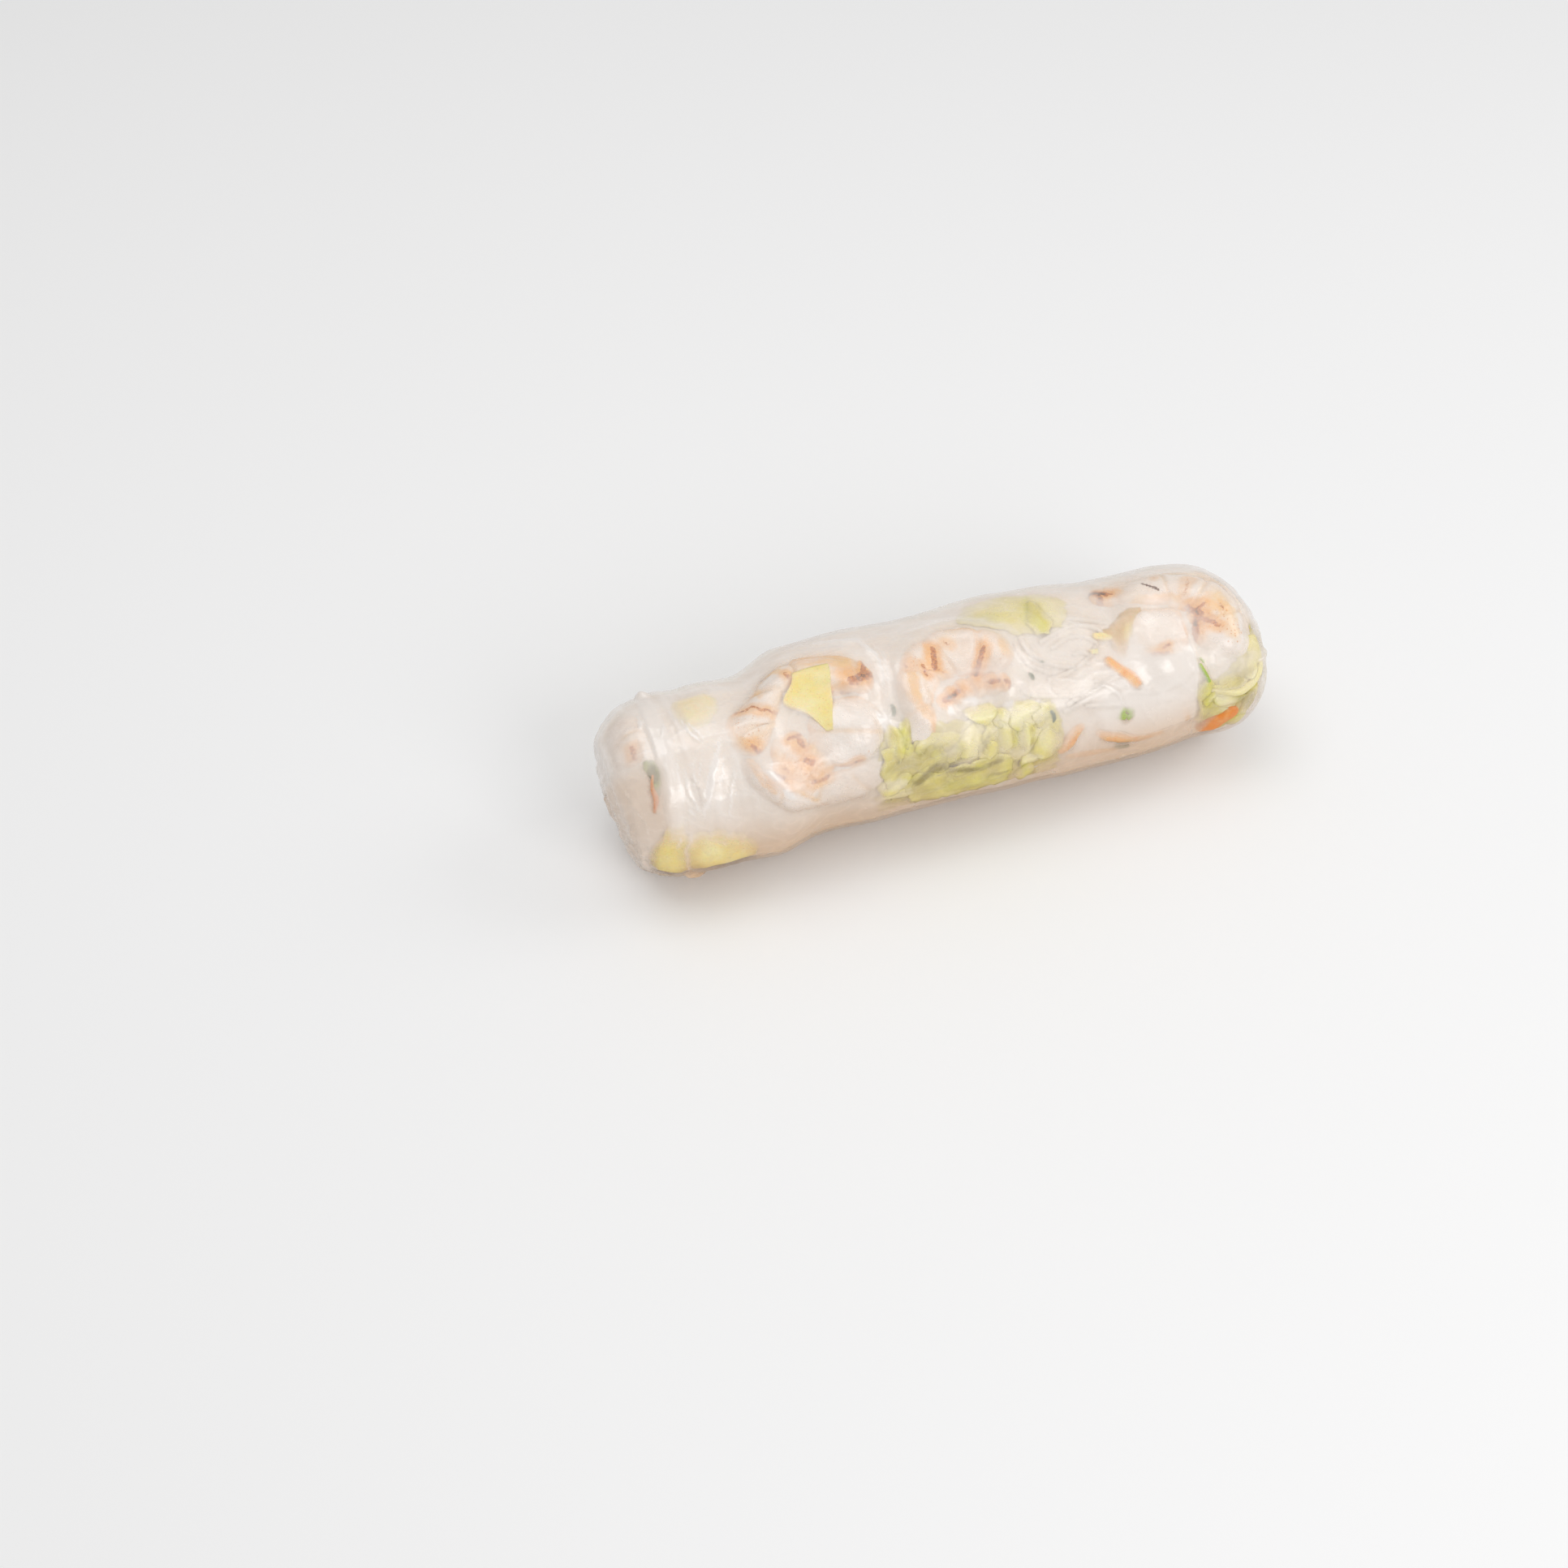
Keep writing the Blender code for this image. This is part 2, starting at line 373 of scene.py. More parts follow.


# Each body runs from the tail to the cut head end: mm along, degrees round, half width, thickness, depth under the paper.
# Joints are shares of its length where one ring of the shell ends and the next one starts.
# Each body's groove number sinks the seams between its rings; makeShrimp also paints shade into those seams.
shrimps = {
    "shrimp_wide": {
        "body": [
            (-14.8, 79, 3.4, 5.0, 0.6),
            (-17.8, 81, 5.2, 6.0, 0.5),
            (-22.0, 88, 6.4, 7.0, 0.5),
            (-27.0, 97, 6.6, 7.5, 0.5),
            (-31.5, 102, 5.6, 7.5, 0.7),
            (-36.4, 96, 5.0, 7.0, 0.5),
            (-40.6, 84, 5.0, 7.0, 0.6),
            (-43.6, 72, 5.8, 7.5, 0.45),
            (-43.0, 62, 5.4, 7.5, 0.5),
            (-41.4, 56, 4.0, 7.0, 0.9),
        ],
        "joints": [0.1, 0.42, 0.62, 0.86],
        "groove": 0.6,
        "lobe": 0.1,
        "square": 2.4,
        "warmth": [(0.0, 0.6), (0.12, 0.62), (0.36, 0.5), (0.45, 0.2), (0.62, 0.2), (0.8, 0.15), (0.95, 0.6)],
        "rim": 0.55,
    },
    "shrimp_wide_head": {
        "body": [
            (-26.4, 25, 5.6, 7.0, 0.7),
            (-25.4, 36, 7.8, 8.5, 0.45),
            (-24.2, 48, 9.0, 9.0, 0.35),
            (-23.0, 60, 8.2, 8.5, 0.45),
            (-22.4, 70, 5.6, 7.0, 0.9),
        ],
        "joints": [0.5],
        "groove": 0.12,
        "lobe": 0.02,
        "square": 2.2,
        "warmth": [(0.0, 0.12), (0.2, 0.0), (1.0, 0.0)],
        "rim": 0.12,
    },
    "shrimp_wide_under": {
        "body": [
            (-47.1, 51, 1.5, 3.0, 1.2),
            (-45.1, 37, 2.2, 4.0, 0.9),
            (-41.4, 26, 3.4, 5.0, 0.7),
            (-35.8, 16, 4.8, 6.0, 0.7),
            (-27.6, 10, 5.4, 6.0, 0.8),
            (-21, 16, 4.4, 6.0, 1.1),
            (-18.2, 27, 2.6, 4.0, 1.6),
        ],
        "joints": [0.3, 0.55, 0.8],
        "groove": 0.2,
        "lobe": 0.04,
        "square": 2.0,
        "warmth": [(0.0, 0.1), (0.4, 0.12), (1.0, 0.08)],
        "rim": 0.3,
    },
    "shrimp_wide_belly": {
        "body": [
            (-35.8, 61, 3.2, 4.5, 1.5),
            (-37, 51, 4.6, 5.5, 1.1),
            (-36.5, 41, 5.4, 6.0, 0.9),
            (-33, 32, 5.0, 6.0, 0.9),
            (-28.5, 26, 3.4, 5.0, 1.1),
        ],
        "joints": [0.3, 0.5, 0.7],
        "groove": 0.35,
        "lobe": 0.05,
        "square": 2.0,
        "warmth": [(0.0, 0.15), (0.4, 0.25), (1.0, 0.15)],
        "rim": 0.2,
    },
    "shrimp_middle": {
        "body": [
            (-8.8, 28, 2.8, 5.0, 1.0),
            (-8.6, 42, 3.6, 6.0, 0.8),
            (-8.1, 55, 4.0, 7.0, 0.8),
            (-6.4, 69, 4.9, 7.5, 0.6),
            (-2.6, 80, 6.1, 8.0, 0.6),
            (2.9, 84, 6.9, 8.0, 0.6),
            (8.3, 79, 6.5, 8.0, 0.7),
            (11.5, 70, 5.4, 7.5, 0.9),
            (12.9, 61, 3.8, 6.5, 1.2),
        ],
        "joints": [0.2, 0.42, 0.6, 0.8],
        "groove": 0.5,
        "lobe": 0.06,
        "square": 2.2,
        "warmth": [(0.0, 0.02), (0.25, 0.12), (0.4, 0.4), (0.6, 0.3), (0.8, 0.32), (1.0, 0.3)],
        "rim": 0.3,
    },
    "shrimp_middle_legs": {
        "body": [
            (-4.1, 49, 1.6, 3.5, 1.3),
            (-0.3, 54, 2.6, 4.5, 1.0),
            (4.4, 57, 3.0, 5.0, 1.0),
            (9.1, 55, 2.8, 5.0, 1.0),
            (13, 53, 1.8, 4.0, 1.4),
        ],
        "joints": [0.2, 0.36, 0.52, 0.68, 0.84],
        "groove": 0.5,
        "lobe": 0.14,
        "square": 2.0,
        "warmth": [(0.0, 0.35), (0.5, 0.5), (1.0, 0.35)],
        "rim": 0.3,
    },
    "shrimp_end": {
        "body": [
            (38.0, 109, 3.4, 4.5, 0.7),
            (43.0, 108, 5.2, 6.0, 0.6),
            (48.6, 106, 6.6, 7.0, 0.5),
            (54.6, 103, 7.6, 8.0, 0.5),
            (61.0, 94, 8.4, 8.5, 0.5),
            (64.6, 80, 8.8, 8.5, 0.5),
            (65.0, 65, 8.8, 8.5, 0.45),
            (64.4, 52, 8.4, 8.0, 0.45),
            (63.6, 41, 7.6, 7.5, 0.45),
            (62.6, 33, 6.0, 6.5, 0.6),
        ],
        "joints": [0.1, 0.36, 0.56, 0.76],
        "groove": 0.4,
        "lobe": 0.05,
        "square": 2.6,
        "warmth": [(0.0, 0.45), (0.2, 0.22), (0.45, 0.16), (0.6, 0.25), (0.74, 0.28), (0.8, 0.04), (1.0, 0.0)],
        "rim": 0.2,
    },
    "shrimp_block": {
        "body": [
            (49.2, 83, 5.0, 7.0, 0.9),
            (49.2, 76, 6.8, 8.0, 0.45),
            (49.0, 66, 7.1, 8.5, 0.35),
            (48.8, 55, 6.8, 8.0, 0.45),
            (48.6, 46, 5.4, 7.0, 0.8),
        ],
        "joints": [0.78],
        "groove": 0.25,
        "lobe": 0.03,
        "square": 4.5,
        "warmth": [(0.0, 0.1), (0.3, 0.0), (0.7, 0.02), (1.0, 0.2)],
        "rim": 0.2,
    },
    "shrimp_left": {
        "body": [
            (-69.0, 126, 4.4, 5.0, 0.8),
            (-70.5, 108, 5.2, 6.5, 0.6),
            (-71.2, 90, 5.0, 7.0, 0.5),
            (-71.6, 76, 4.0, 6.0, 0.5),
            (-71.6, 66, 3.0, 5.0, 0.6),
        ],
        "joints": [0.5],
        "groove": 0.2,
        "lobe": 0.03,
        "square": 2.2,
        "warmth": [(0.0, 0.05), (0.6, 0.15), (1.0, 0.25)],
        "rim": 0.2,
    },
}

shrimpMarks = {
    "blush": [
        ([(-29.4, 116), (-26, 116), (-23.6, 112), (-19.6, 103), (-16.4, 96), (-14.0, 90)], 1.2, 1.0),
        ([(-29, 108), (-23, 101), (-18, 90)], 4.8, 0.85),
        ([(-25.6, 73), (-22, 70), (-18, 67), (-15.0, 70), (-13.8, 76)], 1.2, 0.95),
        ([(-48.2, 74), (-48.4, 68), (-46.6, 62), (-45, 57)], 1.7, 0.95),
        ([(-45.6, 86), (-42.6, 83), (-40.6, 79), (-38, 74), (-35.6, 70)], 1.7, 0.6),
        ([(-38.6, 112), (-36.6, 114), (-34.6, 108), (-33.2, 98), (-32.0, 91)], 1.3, 0.9),
        ([(-39.4, 100), (-39.6, 90)], 1.0, 0.5),
        ([(-44.4, 54), (-42, 46), (-38.5, 36), (-33, 26)], 3.4, 0.7),
        ([(-35.8, 54), (-34.4, 46), (-34.0, 34)], 2.8, 0.8),
        ([(-46.0, 46), (-43.4, 38), (-40.8, 31), (-37, 22), (-33, 8)], 0.7, 0.6),
        ([(-45.6, 44), (-44.6, 34), (-42.6, 27)], 0.8, 0.6),
        ([(-29.6, 27), (-25.6, 26), (-22.6, 28)], 1.5, 0.6),
        ([(-10.4, 84), (-10.0, 70), (-9.4, 58)], 1.3, 0.4),
        ([(-7.0, 86), (-7.8, 70), (-8.4, 56), (-7.0, 48), (-5.2, 40)], 1.8, 0.75),
        ([(-1.6, 88), (-2.6, 80), (-4.0, 72)], 2.2, 0.65),
        ([(-4.6, 76), (-2, 72.6), (0.2, 68)], 1.2, 0.8),
        ([(-10.2, 91), (-5.8, 96), (-1, 100), (4.2, 102), (7.9, 98), (10.2, 91)], 1.1, 0.6),
        ([(1.0, 61), (5.4, 60), (12.4, 55)], 2.8, 0.75),
        ([(9.6, 82), (8.4, 74), (6.6, 66)], 1.8, 0.55),
        ([(13.4, 76), (14.2, 64)], 1.6, 0.45),
        ([(-5.0, 44), (-4.2, 38)], 1.3, 0.95),
        ([(43, 48), (46, 44), (47.6, 37)], 2.8, 0.55),
        ([(44.6, 51), (48.8, 49)], 1.4, 0.5),
        ([(57.2, 76), (58.6, 68), (60.6, 60)], 3.2, 0.7),
        ([(62.6, 76), (64.6, 64), (63.6, 52)], 3.0, 0.5),
        ([(55.6, 62), (55.4, 46)], 1.2, 0.8),
        ([(46, 90), (54.6, 88), (57.0, 80), (56.6, 70)], 1.2, 0.7),
        ([(39, 118), (47, 122), (54, 120)], 2.8, 0.4),
        ([(38.6, 106), (40.4, 97)], 2.6, 0.6),
    ],
    "streak": [
        ([(-45.6, 86), (-43.6, 84), (-42.2, 86), (-40.6, 80), (-38.4, 76), (-36.4, 72)], 0.8, 0.5),
        ([(-44.8, 58), (-43.9, 54), (-42.0, 51.6)], 1.0, 0.75),
        ([(-43.6, 50), (-42.6, 42), (-41.0, 36)], 0.8, 0.42),
        ([(-36.8, 55.5), (-34.4, 54), (-32.4, 55.5)], 0.9, 0.6),
        ([(-34.6, 54), (-34.2, 47)], 1.3, 0.6),
        ([(-41.4, 36), (-40.2, 33.6)], 1.4, 0.62),
        ([(-39.6, 40), (-38.8, 37)], 1.0, 0.4),
        ([(-34.6, 38.4), (-33.2, 35.4)], 1.1, 0.75),
        ([(-34.0, 24.4), (-31.8, 23.4), (-30.4, 24)], 1.0, 0.55),
        ([(-28.4, 27.6), (-26, 26.2), (-23.8, 28.2), (-22.6, 28.6)], 0.6, 0.72),
        ([(-32.9, 95), (-32.3, 90)], 0.9, 0.5),
        ([(-29.6, 117), (-26, 116.4), (-23.6, 112.6), (-19.6, 103.6), (-16.6, 97), (-15.4, 92)], 0.55, 0.5),
        ([(-20.4, 76), (-18.0, 77.4), (-16.0, 80)], 1.9, 0.9),
        ([(-15.7, 93), (-16.2, 87), (-17.6, 80)], 0.9, 1.0),
        ([(-24.6, 74), (-20.6, 69), (-17.4, 67)], 0.5, 0.45),
        ([(-0.8, 87), (-1.5, 81), (-2.0, 74)], 1.1, 0.85),
        ([(-4.7, 77), (-4.4, 70)], 0.8, 0.55),
        ([(-4, 73.4), (-1.4, 72.4), (0.4, 68)], 0.6, 0.4),
        ([(9.4, 78), (8, 72), (6.2, 63.4)], 0.95, 0.8),
        ([(2.0, 89), (3.0, 87)], 0.7, 0.45),
        ([(5.4, 100), (7.8, 97), (9.6, 92)], 0.5, 0.4),
        ([(-8.3, 81), (-8.1, 78)], 0.7, 0.4),
        ([(-2.2, 52.6), (-0.4, 53.6), (1.4, 56)], 1.2, 0.95),
        ([(8.6, 56.4), (10.2, 55.4)], 1.0, 0.7),
        ([(11.4, 54.4), (12.6, 52), (12.0, 50)], 1.0, 0.65),
        ([(-5.0, 38), (-4.9, 36.6)], 0.9, 0.9),
        ([(-4.4, 42), (-3.8, 40)], 0.8, 0.6),
        ([(38.2, 113), (40.0, 110), (42.0, 105)], 1.5, 0.95),
        ([(40.0, 108), (39.4, 98)], 1.3, 0.75),
        ([(44.8, 49.6), (46.6, 49), (48.2, 48)], 0.9, 0.95),
        ([(47.6, 52), (49.4, 53.4)], 0.6, 0.7),
        ([(57.6, 77), (58.8, 73), (59.4, 69)], 1.3, 1.0),
        ([(58.6, 72), (60.6, 74.5)], 0.9, 0.8),
        ([(59.2, 70), (58, 64), (57, 57), (55.8, 50)], 1.2, 0.85),
        ([(59.0, 67), (60.6, 62), (61.4, 57)], 0.9, 0.75),
        ([(63.4, 70), (63.6, 67)], 0.9, 0.45),
        ([(60.4, 98), (58.6, 90), (57.6, 86)], 0.9, 0.35),
        ([(54.8, 118), (53.4, 106)], 0.8, 0.35),
        ([(-69.3, 83), (-69.5, 73)], 1.2, 0.55),
    ],
    "speck": [
        ([(-15.7, 93), (-16.0, 90)], 0.5, 0.8),
        ([(-19.0, 76), (-17.4, 78.6)], 0.8, 0.6),
        ([(-16.4, 80), (-15.4, 77)], 0.7, 0.5),
        ([(-1.2, 53.2), (0.8, 55.2)], 0.6, 0.7),
        ([(6.3, 64)], 0.6, 0.8),
        ([(14.4, 62)], 0.6, 0.5),
        ([(-4.9, 37.3)], 0.5, 0.8),
        ([(38.4, 112), (39.6, 110), (41.2, 106.5)], 0.95, 0.85),
        ([(40.0, 106), (39.6, 102)], 0.8, 0.7),
        ([(49.6, 101.6), (50.6, 99), (52.2, 94.4)], 0.6, 0.9),
        ([(58.2, 66), (57.8, 62.4)], 0.7, 0.7),
        ([(59.0, 72), (59.1, 70)], 0.6, 0.7),
        ([(65.6, 58.6)], 0.6, 0.6),
        ([(-23.9, 28)], 0.45, 0.85),
        ([(-33.8, 37)], 0.5, 0.5),
        ([(46.6, 49.1)], 0.45, 0.6),
    ],
    "stipple": [
        ([(-45, 76), (-45, 62)], 4.5, 0.7),
        ([(1, 60), (6, 59)], 3.6, 1.0),
        ([(-40, 42), (-36, 30)], 4.0, 0.8),
        ([(62, 62), (64, 48)], 3.8, 0.9),
        ([(13, 66), (13, 58)], 2.8, 0.6),
        ([(-8, 84), (-5, 78)], 2.4, 0.6),
        ([(-22, 32), (-20, 30)], 2.0, 0.6),
    ],
    # painted shade lines along the lobe outlines and where pieces overlap
    "groove": [
        ([(-32.6, 66), (-33.0, 56), (-32.4, 44), (-30.4, 31)], 1.1, 0.5),
        ([(-38.8, 80), (-38.2, 70), (-36.4, 63)], 1.0, 0.45),
        ([(-38.2, 90), (-40.2, 98)], 0.8, 0.4),
        ([(-23.0, 70), (-20, 66), (-18, 62)], 0.7, 0.4),
        ([(-5.4, 66), (-5.0, 58), (-5.0, 48), (-5.4, 34)], 0.9, 0.5),
        ([(-11.8, 84), (-12.4, 70), (-12.4, 50), (-11.6, 34)], 0.8, 0.4),
        ([(55.9, 80), (56.1, 62), (55.4, 46)], 0.9, 0.5),
        ([(41.8, 76), (41.8, 62), (42.8, 52)], 0.8, 0.45),
        ([(63.6, 84), (66.6, 72)], 0.8, 0.3),
        ([(-68.4, 84), (-69.2, 70), (-70.6, 63)], 0.8, 0.5),
    ],
}


def makeShrimp(name, spec, material):
    shape = bmesh.new()
    path, length = smoothPath(spec["body"])
    rows = int(max(60, length / 0.34))
    bmesh.ops.create_uvsphere(shape, u_segments=104, v_segments=rows, radius=1.0)
    ball = vertexTable(shape)
    share = np.arccos(np.clip(-ball[:, 2], -1, 1)) / math.pi
    turn = np.arctan2(ball[:, 1], ball[:, 0])
    at = share * (len(path) - 1)
    row = np.clip(np.floor(at).astype(int), 0, len(path) - 2)
    part = (at - row)[:, None]
    x, arc, half, thick, depth = (path[row] * (1 - part) + path[row + 1] * part).T
    heading = path[np.clip(row + 2, 0, len(path) - 1)] - path[np.clip(row - 2, 0, len(path) - 1)]
    heading = heading[:, :2] / np.maximum(np.hypot(heading[:, 0], heading[:, 1]), 1e-9)[:, None]
    toEnd = np.minimum(share, 1 - share) * length
    cap = (1 - np.clip(1 - toEnd / (half * 0.8), 0, 1) ** spec["square"]) ** (1 / spec["square"])
    joints = np.array([0.0, *spec["joints"], 1.0])
    slant = 0.02 * np.sin(turn * 2)
    ring = np.clip(np.searchsorted(joints, share + slant, "right") - 1, 0, len(joints) - 2)
    within = (share + slant - joints[ring]) / (joints[ring + 1] - joints[ring])
    toJoint = np.min(np.abs(share[:, None] + slant[:, None] - joints[None, 1:-1]), axis=1) * length
    seam = np.exp(-((toJoint / 0.55) ** 2))
    swell = 1 + spec["lobe"] * (np.sin(np.clip(within, 0, 1) * math.pi) - 0.6)
    across = np.sign(np.cos(turn)) * np.abs(np.cos(turn)) ** 0.8
    upward = np.sign(np.sin(turn)) * np.abs(np.sin(turn)) ** 0.55
    side = half * cap * swell * across * (1 - 0.03 * seam)
    x = x - heading[:, 1] * side
    arc = arc + heading[:, 0] * side
    lift = thick / 2 * cap**0.6 * upward
    depth = np.maximum(depth - 0.15, 0.3) + thick / 2 - lift + spec["groove"] * seam * np.clip(upward, 0, 1)
    rough = onRoll(x, arc / arcPerDegree, depth)
    lumpy = unevenness(rough, 3.5, 3.0)
    fine = unevenness(rough, 1.1, 9.0)
    depth = depth + 0.28 * lumpy + 0.08 * fine
    # for a shrimp this is its own blush along the body
    warmth = np.interp(share, *zip(*spec["warmth"]))
    edge = smoothStep(0.55, 0.98, np.abs(across)) * spec["rim"]
    streaky = unevenness(np.stack([x * 1.0, arc * 1.0, 0 * x], axis=1), 1.3, 5.0)
    paints = {
        "blush": np.clip(warmth * (0.75 + 0.5 * lumpy) + edge + 0.22 * seam + paintStrokes(x, arc, shrimpMarks["blush"], streaky), 0, 1),
        "streak": paintStrokes(x, arc, [(p, w * 0.85, k) for p, w, k in shrimpMarks["streak"]], streaky) * (upward > -0.2),
        "amber": paintStrokes(x, arc, [(p, w * 2.2 + 0.4, k * 0.8) for p, w, k in shrimpMarks["streak"]], lumpy) * (upward > -0.2),
        "speck": paintStrokes(x, arc, shrimpMarks["speck"], fine) * (upward > -0.2),
        "stipple": paintStrokes(x, arc, shrimpMarks["stipple"]) * (upward > -0.2),
        # painted shade: the marked outlines, and the seams between rings
        "groove": np.clip(paintStrokes(x, arc, shrimpMarks["groove"], streaky) + 0.3 * seam, 0, 1),
    }
    points = onRoll(x, arc / arcPerDegree, depth)
    return finishPiece(name, shape, points, paints, material)


shrimpFinish = makeShrimpFinish()
contents = [makeShrimp(name, spec, shrimpFinish) for name, spec in shrimps.items()]
print("shrimps made", len(contents))

# ---- thin pieces: leaves and omelette


def makeSheet(name, spec, material, marks=None):  # a sheet between two edge lines, laid under the paper
    shape = bmesh.new()
    left, leftLength = smoothPath(spec["left"], 120)
    right, rightLength = smoothPath(spec["right"], 120)
    wide = max(np.hypot(*(left - right)[:, :2].T))
    step = spec.get("step", 0.6)
    bmesh.ops.create_grid(
        shape,
        x_segments=int(max(6, wide / step)),
        y_segments=int(max(6, max(leftLength, rightLength) / step)),
        size=1.0,
    )
    flat = vertexTable(shape)
    across, down = (flat[:, 0] + 1) / 2, (1 - flat[:, 1]) / 2
    at = np.clip((down * 119).round().astype(int), 0, 119)
    x = left[at, 0] * (1 - across) + right[at, 0] * across
    arc = left[at, 1] * (1 - across) + right[at, 1] * across
    spots = np.stack([x, arc, np.full(len(x), spec.get("seed", 0.0))], axis=1)
    border = np.minimum(np.minimum(across, 1 - across), np.minimum(down, 1 - down))
    torn = spec.get("ragged", 0.0) * (1 - smoothStep(0.0, 0.12, border))
    x = x + torn * unevenness(spots, 2.2, 1.0) * 2
    arc = arc + torn * unevenness(spots, 2.2, 6.0) * 2
    ruffle = unevenness(spots * (1.0, 0.8, 1.0), spec.get("ruffleSize", 6.0), 2.0)
    crimp = unevenness(spots, spec.get("ruffleSize", 6.0) * 0.35, 8.0)
    depth = spec["depth"] + spec.get("ruffle", 0.0) * (ruffle + 0.4 * crimp)
    depth = depth + spec.get("curl", 0.0) * (2 * across - 1) ** 2
    depth = depth + spec.get("sink", 0.0) * (1 - smoothStep(0.0, 0.3, border)) ** 2
    depth = np.maximum(depth, 0.25)
    points = onRoll(x, arc / arcPerDegree, depth)
    under = onRoll(x, arc / arcPerDegree, depth + spec.get("wall", 0.5))
    given = {
        "shade": np.clip(spec.get("shade", 0.0) + 0.35 * ruffle + 0.12 * crimp, 0, 1),
        "edge": 1 - smoothStep(0.0, 0.1, border),
    }
    for key, strokes in (marks or {}).items():
        given[key] = paintStrokes(x, arc, strokes, crimp)
    return finishPiece(name, shape, points, given, material, under)


def makeScrap(name, spec, material, marks=None):  # a chopped, curled bit
    x0, degrees0, halfLong, halfWide, angle, curl, deep, shade = spec[:8]
    wall = spec[8] if len(spec) > 8 else 0.9
    shape = bmesh.new()
    bmesh.ops.create_grid(
        shape,
        x_segments=int(max(8, halfLong / 0.28)),
        y_segments=int(max(6, halfWide / 0.28)),
        size=1.0,
    )
    flat = vertexTable(shape)
    seed = np.full(len(flat), x0 * 0.37 + degrees0)
    wobble = unevenness(np.stack([flat[:, 0] * 2, flat[:, 1] * 2, seed], axis=1), 1.4)
    lean, roll = math.sin(x0 * 2.3 + degrees0), math.cos(x0 * 1.7 - degrees0)
    p = flat[:, 0] * (1 - 0.2 * flat[:, 1] ** 2) * (1 + 0.22 * roll * flat[:, 1] - 0.18 * wobble)
    q = flat[:, 1] * (1 - 0.35 * flat[:, 0] ** 4) * (1 + 0.25 * wobble) * (1 - 0.35 * lean * flat[:, 0])
    turn = math.radians(angle)
    x = x0 + p * halfLong * math.cos(turn) - q * halfWide * math.sin(turn)
    arc = degrees0 * arcPerDegree + p * halfLong * math.sin(turn) + q * halfWide * math.cos(turn)
    ribs = unevenness(np.stack([p * halfLong * 0.4, q * halfWide, seed], axis=1), 1.2, 4.0)
    facet = np.abs(q - 0.25 * lean - 0.3 * roll * p) * 0.7 + np.abs(p + 0.3 * roll) * 0.25
    depth = deep * 0.6 + curl * facet + 0.25 * (lean * p + roll * q) + 0.2 * wobble + 0.12 * ribs
    depth = np.maximum(depth, 0.25)
    points = onRoll(x, arc / arcPerDegree, depth)
    under = onRoll(x, arc / arcPerDegree, depth + wall)
    border = 1 - np.maximum(np.abs(flat[:, 0]), np.abs(flat[:, 1]))
    paints = {
        "shade": np.clip(shade + 0.25 * ribs + 0.15 * wobble, 0, 1),
        "edge": 1 - smoothStep(0.0, 0.25, border),
    }
    for key, strokes in (marks or {}).items():
        paints[key] = paintStrokes(x, arc, strokes, wobble)
    return finishPiece(name, shape, points, paints, material, under)


def joinPieces(name, pieces, material):  # many small bits become one piece
    joined = bmesh.new()
    for piece in pieces:
        joined.from_mesh(piece.data)
        old = piece.data
        bpy.data.objects.remove(piece)
        bpy.data.meshes.remove(old)
    mesh = bpy.data.meshes.new(name)
    joined.to_mesh(mesh)
    joined.free()
    return showPiece(name, mesh, material)


